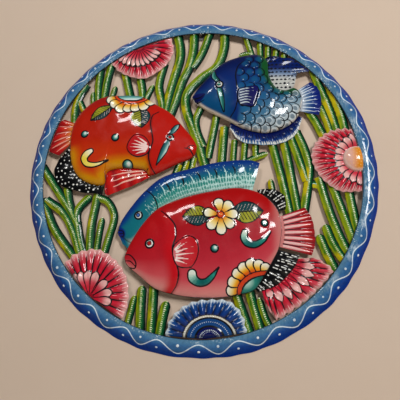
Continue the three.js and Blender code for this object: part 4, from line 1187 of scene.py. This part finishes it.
class Fish(Paintwork):
    """A domed body between its back and belly lines, and its paint, whose ground runs from one to
    the other. With a tuck, the belly's side runs in flat that far under another fish."""

    def __init__(self, back, belly, rise, ground, base=BODY_TOP, ends=0.0, power=0.55, tuck=None):
        first, second = curve(back, FISH_ROWS, even=True), curve(belly, FISH_ROWS, even=True)
        u = np.linspace(0, 1, FISH_ROWS + 1)[:, None]
        if tuck is None:
            w = self.shown = inner = across_dome(FISH_COLUMNS + 1) * np.ones_like(u)
        else:
            seen = np.maximum(0.4, 1 - tuck / np.linalg.norm(second - first, axis=1, keepdims=True))
            w = np.concatenate([seen * across_dome(TUCKED_COLUMNS), np.ones_like(seen)], axis=1)
            self.shown, inner = np.minimum(1, w / seen), np.minimum(w, 0.999)
        x, z = ruled(first, second, w)
        dome = np.sqrt(4 * self.shown * (1 - self.shown)) ** 0.85
        self.h = base + rise * np.sin(pi * (ends + (1 - 2 * ends) * u)) ** power * dome
        self.u = u * np.ones_like(w)
        self.loose = np.minimum(1, 8 * np.sqrt(np.clip(inner * (1 - inner) * u * (1 - u), 0, 1)))
        super().__init__(x, z, shaded(self.shown, ground))

    def finish(self, name, slot, seed, **look):
        """The piece with its painted and hammered relief, which fades out at the edge."""
        relief = (self.lift + beaten(self.x, self.z, 0.7)) * self.loose
        self.make(name, slot, self.h + relief, seed, **look)

    def band(self, points, half, colour, count, ink=0.6, raised=0.6):
        """A filled stroke of a broad brush, with a liner round it."""
        self.fill(self.to(curve(points, count), half), colour, ink, raised)

    def leaf(self, base, tip, widths):
        """A leaf in two tones, parted by its midrib, with short veins."""
        base, tip = np.array(base, float), np.array(tip, float)
        along = tip - base
        across = np.array([-along[1], along[0]]) / np.linalg.norm(along)
        middle = base + along / 2 + across
        out = ((self.x - base[0]) * along[0] + (self.z - base[1]) * along[1]) / (along @ along)
        for side, width, colours, layer in ((1, widths[0], LEAF_DARK, "white"),
                                            (-1, widths[1], LEAF_LIGHT, "ink")):
            bulge = [base + along * a + across * side * width * b
                     for a, b in ((0.2, 0.62), (0.45, 1.0), (0.72, 0.8), (0.9, 0.35))]
            half = np.concatenate([curve([base, *bulge, tip], 30), curve([tip, middle, base], 12)])
            self.fill(to_area(self.x, self.z, half), shaded(out, colours), 0.7)
            for a in (0.24, 0.34, 0.44, 0.54, 0.64, 0.74, 0.82):
                foot = base + along * (a - 0.06) + across * 0.9
                end = base + along * (a + 0.06) + across * side * width * 0.72
                self.add(layer, self.to([foot, end], [0.25, 0.45]))

    def flower(self, centre, tips, width, ink, raised=0.9, colours=PETAL_FIRE, gap=None):
        """Petals that point away from the centre, all of one length or from a gap round it."""
        for tip in np.array(tips):
            out = (tip - centre) / np.linalg.norm(tip - centre)
            root = tip - out * DAISY_PETAL if gap is None else centre + out * gap
            self.petal(root, tip, width, colours, ink, raised)

    def eye(self, centre, radius, pupil):
        self.spot(centre, radius, (240, 238, 230), 1.1, 0.8)
        self.spot((centre[0] - 0.08 * radius, centre[1] + 0.06 * radius), radius * 0.5, pupil, 0.4)

    def pearl(self, centre, radius):
        """A round dab of teal with a white light on it."""
        light = self.from_point((centre[0] + 0.25 * radius, centre[1] + 0.25 * radius))
        self.spot(centre, radius, shaded(light / radius, TEAL_DAB), 1.0, 0.8)

    def comma(self, points, half, colours):
        """A curled brush stroke, fat at its head and pointed at its tail."""
        line = curve(points)
        step = np.linspace(0, 1, len(line))[::3]
        nearest = np.argmin([self.from_point(point) for point in line[::3]], axis=0)
        self.fill(self.to(line, half), shaded(step[nearest], colours), 0.9, 0.7)


# The red fish, swimming to the right: red over ochre, with a daisy on its back.
RED_BACK = [(-3, 44), (-8, 55), (-28, 82), (-50, 108), (-79, 127), (-101, 141), (-140, 145),
            (-173, 143), (-202, 125), (-222, 94), (-223, 63)]
RED_BELLY = [(-3, 44), (-5, 33), (-10, 25), (-36, 13), (-84, -7), (-91, 2), (-104, 6), (-145, 6),
             (-158, 0), (-163, -21), (-190, -18), (-212, -2), (-223, 24), (-223, 63)]
RED_GILL = [(-69, 106), (-79, 97), (-82, 82), (-79, 64), (-77, 49), (-84, 26), (-81, 8)]
fish = Fish(RED_BACK, RED_BELLY, 18.4, [(180, 26, 0)])
x, z = fish.x, fish.z
fish.wash((162, 12, 8), ease(105, 140, z))
fish.wash((194, 48, 4), ease(66, 30, z) * ease(-78, -90, x))
low_side = np.minimum(fish.to(curve(RED_BELLY[4:], 80)), UNPAINTED)
fish.wash((206, 118, 2), ease(26, 9, low_side) * ease(-80, -92, x) * ease(52, 26, z))
fish.wash((208, 142, 2), ease(15, 5, low_side) * ease(-80, -94, x) * ease(50, 24, z))
fish.wash((198, 44, 20), ease(36, 10, np.hypot((x + 185) / 1.3, z - 2)) * 0.5 * ease(-10, 4, z))
fish.wash((188, 20, 10), ease(-86, -76, x) * 0.8)
behind = fish.to(curve([*RED_GILL, (-71, -9)], 50))
fish.wash((120, 12, 10), ease(4.5, 0.0, behind) * (x < -78) * 0.7)
fish.line([*RED_GILL, (-74, -5), (-70, -12)], [0.5, 0.8, 0.8, 0.6])
fish.line([(-85, 3), (-90, -3), (-97, -12)], 0.5)
fish.leaf((-150, 120), (-189, 92), (11.5, 12.5))
fish.leaf((-102, 116), (-97, 74), (16, 17))
fish.flower((-119, 143), [(-164, 131), (-155, 118), (-141, 105), (-123, 104), (-107, 105),
                          (-90, 110), (-78, 124)], 19, 0.8)
fish.band([(-148, 142), (-142, 133), (-124, 125), (-106, 125), (-95, 131), (-90, 140)], 2.6,
          (214, 60, 16), 40, 0.5, 0.8)
fish.outline([(-144, 140), (-133, 131), (-120, 129), (-107, 130), (-99, 137), (-112, 150),
              (-130, 150)],
             shaded(ease(128, 143, z), [(240, 242, 236), (120, 190, 180), (16, 110, 112)]),
             0.6, 0.8)
fish.outline([(-121, 38), (-116, 53), (-107, 61), (-93, 58), (-84, 47), (-82, 36), (-87, 27),
              (-103, 23), (-115, 28)], (186, 20, 26), 0.6, 1.6)
for start, end in (((-86, 40), (-111, 52)), ((-86, 38), (-115, 46)), ((-87, 36), (-116, 40)),
                   ((-88, 34), (-113, 33)), ((-90, 31), (-107, 27)), ((-88, 45), (-103, 56))):
    fish.bowed(start, end, (0, 0.6), [1.5, 1.1, 0.2])
for centre, radius in (((-197, 66), 6), ((-142, 57), 6), ((-121, 10), 8.4)):
    fish.pearl(centre, radius)
fish.comma([(-184, 34), (-190, 30), (-195, 22), (-191, 13), (-180, 10), (-167, 12), (-154, 18)],
           [4.8, 6.2, 6.0, 4.8, 4.0, 2.6, 0.6],
           [(244, 238, 210), (240, 214, 60), (246, 224, 110), (250, 244, 214)])
for points, half in (([(-33, 83), (-40, 73), (-50, 60)], [0.3, 3.8, 4.2, 1.6]),
                     ([(-50, 52), (-58.5, 32), (-71, 8)], [1.6, 5.0, 5.4, 3.2, 0.3])):
    tone = 0.5 + ((x - points[1][0]) * 0.9 - (z - points[1][1]) * 0.42) / 8
    fish.band(points, half, shaded(tone, [(8, 62, 72), (60, 130, 130), (206, 226, 216)]), 20)
fish.eye((-48, 56), 5.6, (186, 26, 20))
fish.line([(-24, 38), (-17, 37), (-11, 30), (-8, 23)], [0.4, 0.9, 0.5])
fish.line([(-19, 39), (-14, 43), (-8, 43)], 0.4)
fish.finish("red_fish_body", "fish_red", 101, white=(246, 214, 204))

# The blue fish, swimming to the left: navy and teal with scales that pale towards the belly.
BLUE_BACK = [(-12, 138), (-4, 150), (11, 169), (42, 202), (84, 217), (110, 217), (123, 205),
             (124, 178), (136, 151), (152, 145), (168, 149), (178, 138), (180, 121)]
BLUE_BELLY = [(-12, 138), (-6, 127), (11, 113), (46, 93), (80, 74), (119, 66), (154, 78), (171, 94),
              (180, 121)]
BLUE_BORDER = [(119, 214), (119, 200), (118, 178), (126, 157), (141, 142), (160, 140), (172, 143)]
BLUE_GILL = [(80, 199), (71, 189), (66, 172), (67, 151), (70, 131), (67, 118), (63, 104), (55, 93)]
SCALE_WIDE, SCALE_TALL, SCALE_ROWS, SCALE_COLUMNS = 15.6, 14.6, 10, 8


def slanted(x, z):
    """How far behind the head and down towards the belly a place is."""
    return (x - 66) * 0.55 - (z - 140) * 0.85


def ahead_of(z, line):
    """The x of a gill line, drawn from top to bottom, at each height."""
    return np.interp(z, [point[1] for point in line[::-1]], [point[0] for point in line[::-1]])


def has_scale(x, z):
    """No scales lie at the roots of the back fin and tail or along the belly's edge."""
    return x <= 172 and (x <= 118 or z <= 150) and np.hypot(x - 148, z - 184) >= 40 and z >= 66


fish = Fish(BLUE_BACK, BLUE_BELLY, 18.4, [(2, 36, 104)])
x, z, w = fish.x, fish.z, fish.shown
fish.wash((0, 16, 72), ease(0.4, 0.05, w))
fish.wash((4, 72, 118), ease(0.3, 0.75, w) * ease(70, 40, x))
fish.wash((10, 78, 128), ease(66, 76, x) * ease(0.2, 0.7, w))
slant = slanted(x, z)
fish.wash((82, 126, 152), ease(26, 72, slant) * ease(64, 72, x))
fish.wash((170, 184, 188), ease(62, 94, slant) * ease(64, 72, x))
to_border = fish.to(curve(BLUE_BORDER, 60))
fish.wash((8, 66, 76), ease(24, 8, to_border) * 0.8)
fish.wash((16, 78, 34), ease(10, 4, to_border))
to_belly = np.hypot(fish.to(curve(BLUE_BELLY, 90)), fish.h - BODY_TOP)  # over the sheet
fish.wash((232, 220, 202), ease(9.5, 4.5, to_belly) * ease(-12, 8, x))
# Scales in staggered rows, each an arc open towards the head with a pale dab in it
behind_gill = x - ahead_of(z, BLUE_GILL)
jitter = np.random.default_rng(12)
for r in range(SCALE_ROWS):
    for c in range(SCALE_COLUMNS):
        dx, dz = jitter.uniform(-1.8, 1.8, 2)
        cx = 74 + SCALE_WIDE * c + SCALE_WIDE / 2 * (r % 2) + dx
        cz = 206 - SCALE_TALL * r - 2.4 * c + dz
        if not has_scale(cx, cz):
            continue
        low = np.clip((slanted(cx, cz) - 16) / 74, 0, 1)
        wide, tall = 9.4 * jitter.uniform(0.88, 1.12), 8.8 * jitter.uniform(0.9, 1.12)
        turns = range(-128 + jitter.integers(24), 112 - jitter.integers(24), 14)
        scale = arc((cx, cz), wide, tall, turns)
        fish.add("ink", np.maximum(fish.to(scale, [0.3, 0.75, 0.3]), 2 - behind_gill))
        middle = fish.from_point((cx, cz))
        if low > 0.6:
            loop = [(cx - 1 + jitter.uniform(4.8, 6.2) * cos(radians(a)),
                     cz + jitter.uniform(4.4, 5.8) * sin(radians(a))) for a in range(-200, 170, 30)]
            stroke = fish.to(loop, [0.1, 0.9 * low, 0.2, 0.7, 0.1])
            fish.add("white", np.maximum(stroke, 3 - behind_gill))
            fish.wash((186, 196, 200), 0.4 * low * ease(8.5, 5, middle))
            fish.wash((92, 112, 126), 0.8 * low * ease(5, 3, middle))
        else:
            fish.wash((20, 96, 136), 0.45 * ease(8, 3, middle) * (behind_gill > 2))
            for k in range(2 + int(14 * low)):
                turn, far = jitter.uniform(-1.9, 0.6), jitter.uniform(4.6, 6.4)
                fleck = fish.from_point((cx + far * cos(turn), cz + far * sin(turn)))
                fish.add("white", np.maximum(fleck - jitter.uniform(0.3, 0.9), 3 - behind_gill))
        fish.lift += 0.3 * ease(10, 2, middle) * (behind_gill > 0)
fish.line(BLUE_GILL, [0.6, 0.9, 0.9, 0.8, 0.6])
fish.outline([(70, 140), (86, 144), (100, 146), (104, 140), (101, 124), (93, 108), (81, 110),
              (71, 114)],
             shaded((x - 70) / 34, [(70, 80, 110), (14, 20, 80), (16, 10, 90)]), 0.6, 1.6)
for k in range(6):
    top = 140 - 5 * k
    fish.line([(72, top - 1), (84, top + 1), (97 - 1.2 * k, top + 1.5 - 0.9 * k)],
              [0.9, 0.8, 0.1], "white")
stripe = 0.5 + (x - np.interp(z, [106, 129, 147, 170], [43, 41, 37, 28])) / 8
for points, half in (([(27, 180), (28, 170), (34, 161)], [3.0, 4.2, 3.8]),
                     ([(36, 148), (40, 129), (44, 104)], [3.6, 4.6, 4.4, 3.4, 1.0])):
    fish.band(points, half, shaded(stripe, [(120, 190, 180), (20, 110, 100), (8, 70, 70)]), 20)
fish.eye((37, 153), 6.2, (30, 120, 96))
fish.outline([(-14, 138), (-4, 140), (5, 140), (12, 138), (8, 130), (0, 125), (-9, 126)],
             (4, 14, 84), 0.0)
fish.line([(-9, 132), (2, 132), (11, 137)], [0.9, 0.8, 0.2])
fish.line([(-9, 126), (0, 124), (10, 127)], [0.9, 0.7, 0.2])
fish.finish("blue_fish_body", "fish_blue", 102, white=(206, 218, 222), ink=(6, 8, 22), dents=0.35)

# The teal fish, half hidden: its lower side runs in flat under the pink fish.
TEAL_BACK = [(-134, -104), (-130, -88), (-112, -59), (-91, -34), (-63, -11), (-15, 4), (36, 15),
             (87, 17), (103, 12)]
TEAL_HIDDEN = [(-125, -123), (-104, -137), (-78, -106), (-55, -81), (-25, -63), (20, -51),
               (54, -45), (80, -41), (88, -41)]
COVERED = np.linspace(17, 11, FISH_ROWS + 1)[:, None]  # how far it runs in under the pink fish
GILL_ROW = 0.27  # where its head ends, as a share of its length
NET_ROWS = 46
fish = Fish(TEAL_BACK, TEAL_HIDDEN, 8.6,
            [(2, 36, 116), (4, 58, 128), (6, 84, 124), (12, 110, 120), (32, 132, 122),
             (70, 150, 138), (150, 190, 176)], FIN_TOP, 0.04, 0.5, COVERED)
x, z, u, shown = fish.x, fish.z, fish.u, fish.shown
fish.wash((14, 108, 122), ease(-66, -80, x) * ease(0.2, 0.45, shown) * 0.9)
fish.wash((14, 104, 116), ease(0.12, 0.04, u) * ease(0.3, 0.5, shown))
fish.wash((216, 220, 196), ease(-40, -70, x) * ease(0.8, 1.0, shown) * ease(0.05, 0.14, u))
for start, end in (((-57, -21), (-47, -37)), ((-31, -9), (-24, -28)), ((-4, -4), (4, -19)),
                   ((26, 1), (31, -15)), ((57, 6), (61, -8))):
    fish.bowed(start, end, (1.5, 0.5), [0.4, 1.2, 0.4], "ink")
for start, end in (((-66, -24), (-56, -42)), ((-43, -14), (-35, -31)), ((-17, -7), (-8, -26)),
                   ((13, 1), (20, -20)), ((41, 6), (47, -19)), ((73, 9), (78, -18))):
    fish.bowed(start, end, (2, 0.5), [0.2, 0.7, 0.3])
# White net over the lower side, closer and heavier towards the tail
net = np.random.default_rng(5)
apart = np.full((2, *x.shape), FAR)
for k in range(NET_ROWS):
    for line in range(4):
        along = GILL_ROW + 0.74 * (k + 0.5 * (line % 2)) / NET_ROWS
        row = min(FISH_ROWS, int(along * FISH_ROWS))
        column = int((0.5 + 0.13 * line) * (TUCKED_COLUMNS - 1))
        knot = x[row, column] + net.uniform(-0.9, 0.9), z[row, column] + net.uniform(-0.7, 0.7)
        away = fish.from_point(knot)
        apart[1] = np.minimum(apart[1], np.maximum(apart[0], away))
        apart[0] = np.minimum(apart[0], away)
heavy = ease(-82, 60, x) * ease(0.38, 0.9, shown)
mesh_line = (apart[1] - apart[0]) / 2 - (0.1 + 0.85 * heavy)
mesh_line = np.maximum(mesh_line, np.maximum(0.47 - shown, 0) * 60 - 0.5)
fish.add("white", np.maximum(mesh_line, (u < GILL_ROW) * 2.0))
for k in range(90):
    place = net.integers(int(GILL_ROW * FISH_ROWS), FISH_ROWS), net.integers(14, 34)
    fish.dot((x[place], z[place]), net.uniform(0.3, 0.7))
fish.line([(-89, -33), (-76, -44), (-69, -58), (-68, -68)], [0.5, 0.9, 0.5])
fish.eye((-99, -77), 6.2, (60, 100, 170))
fish.wash((4, 30, 120), ease(13, 9, fish.from_point((-131, -107))))
fish.line([(-132, -101), (-124, -103), (-123, -110), (-129, -112)], 0.7)
fish.line([(-132, -107), (-124, -106)], 0.5)
fish.finish("teal_fish_body", "fish_teal", 103, white=(196, 232, 224))

# The pink fish, the largest, swimming to the left: red fading to pink, with a white flower.
PINK_BACK = [(-121, -145), (-114, -127), (-92, -90), (-68, -65), (-31, -49), (19, -37), (69, -32),
             (105, -44), (128, -70), (134, -103)]
PINK_BELLY = [(-121, -145), (-117, -156), (-94, -176), (-69, -195), (-29, -206), (25, -209),
              (60, -205), (88, -196), (101, -178), (116, -154), (127, -134), (134, -103)]
PINK_GILL = [(-61, -71), (-47, -83), (-37, -96), (-35, -113), (-40, -134), (-33, -157), (-30, -174),
             (-34, -190), (-43, -203)]
fish = Fish(PINK_BACK, PINK_BELLY, 19.8,
            [(170, 4, 4), (176, 8, 12), (170, 18, 28), (172, 26, 40), (186, 40, 54), (200, 68, 78),
             (224, 146, 138)])
x, z, w = fish.x, fish.z, fish.shown
fish.wash((214, 140, 134), ease(112, 134, x) * 0.8)
to_gill = ahead_of(z, PINK_GILL) - x
face = ease(-0.5, 0.5, to_gill)
fish.wash(shaded(w, [(180, 8, 12), (184, 12, 20), (182, 18, 30), (184, 30, 42), (204, 76, 82),
                     (224, 156, 146)]), face)
fish.wash((196, 14, 26), face * ease(24, 6, to_gill) * ease(0.15, 0.5, w))
fish.wash((150, 10, 24), (1 - face) * ease(7, 0, -to_gill) * 0.7)
fish.lift += 1.4 * ease(-1.5, 2.5, to_gill) * ease(30, 10, to_gill)
fish.line(PINK_GILL, [0.5, 0.9, 0.9, 0.9, 0.4])
fish.line([(-121, -142), (-110, -142), (-99, -155), (-101, -163), (-116, -160)], [0.4, 0.9, 0.5])
fish.line([(-118, -151), (-109, -152), (-100, -160)], [0.3, 0.7, 0.4])
fish.eye((-77, -125), 6.9, (176, 24, 28))
fish.outline([(-39, -134), (-28, -120), (-14, -114), (-3, -120), (1, -135), (-3, -152), (-11, -162),
              (-32, -160)],
             shaded(fish.from_point((-42, -146)) / 46,
                    [(216, 130, 130), (204, 50, 60), (190, 16, 24)]), 0.7, 1.8)
for k, tip in enumerate(((-24, -122), (-19, -122), (-14, -122), (-10, -126), (-7, -131), (-6, -136),
                         (-6, -141), (-7, -146), (-9, -151), (-12, -155), (-16, -158))):
    root = (-37 + 0.12 * (tip[0] + 37), -146 + 0.45 * (tip[1] + 146))
    if k % 2:
        part = ((root[0] + tip[0]) / 2, (root[1] + tip[1]) / 2 + 0.4)
        fish.line([((root[0] + part[0]) / 2, (root[1] + part[1]) / 2), part], [0.3, 0.7, 0.2])
    else:
        fish.bowed(root, tip, (0, 0.4), [1.4, 0.8, 0.1])
fish.leaf((22, -79), (-25, -82), (17, 16))
fish.leaf((50, -78), (104, -74), (18, 18))
FLOWER = np.array((36, -80))
fish.flower(FLOWER, [(32, -52), (53, -58), (64, -79), (56, -101), (37, -113), (16, -103), (9, -75)],
            16, 0.85, 1.1, [PETAL_FIRE[0], (228, 156, 36), (240, 214, 130), (238, 232, 204),
                            (240, 236, 216)], gap=3.5)
fish.spot(FLOWER, 5.6, (206, 52, 20), 0.6, 1.0)
fish.spot(FLOWER + 0.6, 2.4, (232, 120, 40), 0.0)
fish.pearl((26, -134), 5.8)
fish.pearl((105, -94), 5.4)
for points, half in (([(-9, -172), (-8, -179), (1, -185.5), (12, -184.5), (22, -176), (32, -163)],
                      [6.6, 7.0, 5.6, 4.8, 3.8, 0.5]),
                     ([(73.5, -109), (72, -117), (77, -125.5), (88, -128), (102, -121),
                       (114, -108)], [4.6, 5.4, 5.4, 5.0, 3.6, 0.5])):
    fish.comma(points, half, [(222, 230, 214), (150, 200, 180), (24, 112, 104), (6, 84, 84),
                              (14, 108, 100), (40, 140, 124), (6, 76, 80)])
fish.flower((92, -203), [(43, -196), (46, -181), (55, -166), (66, -156), (80, -150), (94, -151),
                         (107, -156)], 17.5, 0.85)
fish.band([(63, -208), (64.5, -192.5), (73, -181.5), (87, -174), (106, -171)], 3.6,
          (208, 60, 20), 40, 0.6, 0.8)
fish.outline([(66, -206), (70, -192), (82, -181), (100, -175), (112, -176), (112, -204),
              (90, -214)],
             shaded(ease(0, 26, fish.from_point((74, -184))),
                    [(180, 216, 200), (30, 130, 116), (12, 92, 84)]), 0.6, 0.8)
fish.add("ink", fish.to(curve(PINK_BELLY, 120), 0.9))
fish.add("ink", fish.to(curve(PINK_BACK, 120), 0.6))
fish.finish("pink_fish_body", "fish_pink", 104, white=(246, 222, 214))

# Wall and floor
# A pale wall behind the plaque, open to a look from behind, and a pale floor well below it.

WALL_HALF, WALL_HEAD = 1.6, 1.3
FLOOR_HALF, FLOOR_LEVEL = 4, -1.4
WALL_GAP = 0.4 * MM


def stage_sheet(name, corners, colours, roughness, lump, detail, seed):
    """A flat sheet of mottled paint that is no part of the plaque."""
    mesh = bpy.data.meshes.new(name)
    mesh.from_pydata(corners, [], [(0, 1, 2, 3)])
    thing = bpy.data.objects.new(name, mesh)
    material, shader, shade = new_material(name + "_paint", roughness=roughness)
    feed(shader, Base_Color=shade.noise(lump, detail, seed).between(*colours))
    mesh.materials.append(material)
    bpy.context.scene.collection.objects.link(thing)
    return shader, shade


wall_y = WALL + WALL_GAP
wall_corners = [(-WALL_HALF, wall_y, FLOOR_LEVEL), (WALL_HALF, wall_y, FLOOR_LEVEL),
                (WALL_HALF, wall_y, WALL_HEAD), (-WALL_HALF, wall_y, WALL_HEAD)]
floor_corners = [(-FLOOR_HALF, -FLOOR_HALF, FLOOR_LEVEL), (FLOOR_HALF, -FLOOR_HALF, FLOOR_LEVEL),
                 (FLOOR_HALF, FLOOR_HALF, FLOOR_LEVEL), (-FLOOR_HALF, FLOOR_HALF, FLOOR_LEVEL)]
wall_shader, shade = stage_sheet(
    "wall", wall_corners, [(211, 189, 168), (213, 192, 172)], 0.9, 60, 4, 41)
stage_sheet("floor", floor_corners, [(214, 206, 196), (222, 215, 206)], 0.8, 90, 3, 42)

# The wall's paint lets light through from behind and throws no shadow
from_behind = shade.node("ShaderNodeNewGeometry", output="Backfacing")
shadow_ray = shade.node("ShaderNodeLightPath", output="Is Shadow Ray")
choose = shade.node("ShaderNodeMixShader", {}, {
    0: from_behind.maths("MAXIMUM", from_behind, shadow_ray),
    1: Socket(shade.tree, wall_shader.outputs[0]), 2: shade.node("ShaderNodeBsdfTransparent")})
shade.tree.links.new(choose.socket, shade.tree.nodes["Material Output"].inputs["Surface"])

# Light, camera
# In front, a key lamp to the right and a small one high to the left; behind, one for the back.

MIDDLE = Vector((0, 0, CENTRE_Z))


def aimed(name, data, place, aim):
    """A lamp or camera that looks from its place at a point."""
    thing = bpy.data.objects.new(name, data)
    thing.location = place
    thing.rotation_euler = (aim - thing.location).to_track_quat("-Z", "Y").to_euler()
    bpy.context.scene.collection.objects.link(thing)
    return thing


for name, place, size, watts in (("key", (0.95, -2.0, 0.3), 0.5, 31),
                                 ("window", (-0.5, -1.5, 0.78), 0.3, 8),
                                 ("behind", (-0.9, 2.0, 0.5), 0.9, 24)):
    lamp = bpy.data.lights.new(name, "AREA")
    lamp.size = size
    lamp.energy = watts
    aimed(name, lamp, place, MIDDLE)
world = bpy.data.worlds.new("studio")
bpy.context.scene.world = world
world.use_nodes = True
background = world.node_tree.nodes["Background"]
background.inputs["Color"].default_value = (0.93, 0.95, 1.0, 1)
seen_by_camera = Socket(world.node_tree).node("ShaderNodeLightPath", output="Is Camera Ray")
feed(background, Strength=0.1 + 0.6 * seen_by_camera)

lens = bpy.data.cameras.new("camera")
lens.sensor_width = 36
lens.lens = 33.77
camera = aimed("camera", lens, (0.04193, -0.61327, -0.48815), Vector((0.00121, 0.00225, -0.33133)))
bpy.context.scene.camera = camera
bpy.context.scene.view_settings.view_transform = "Standard"
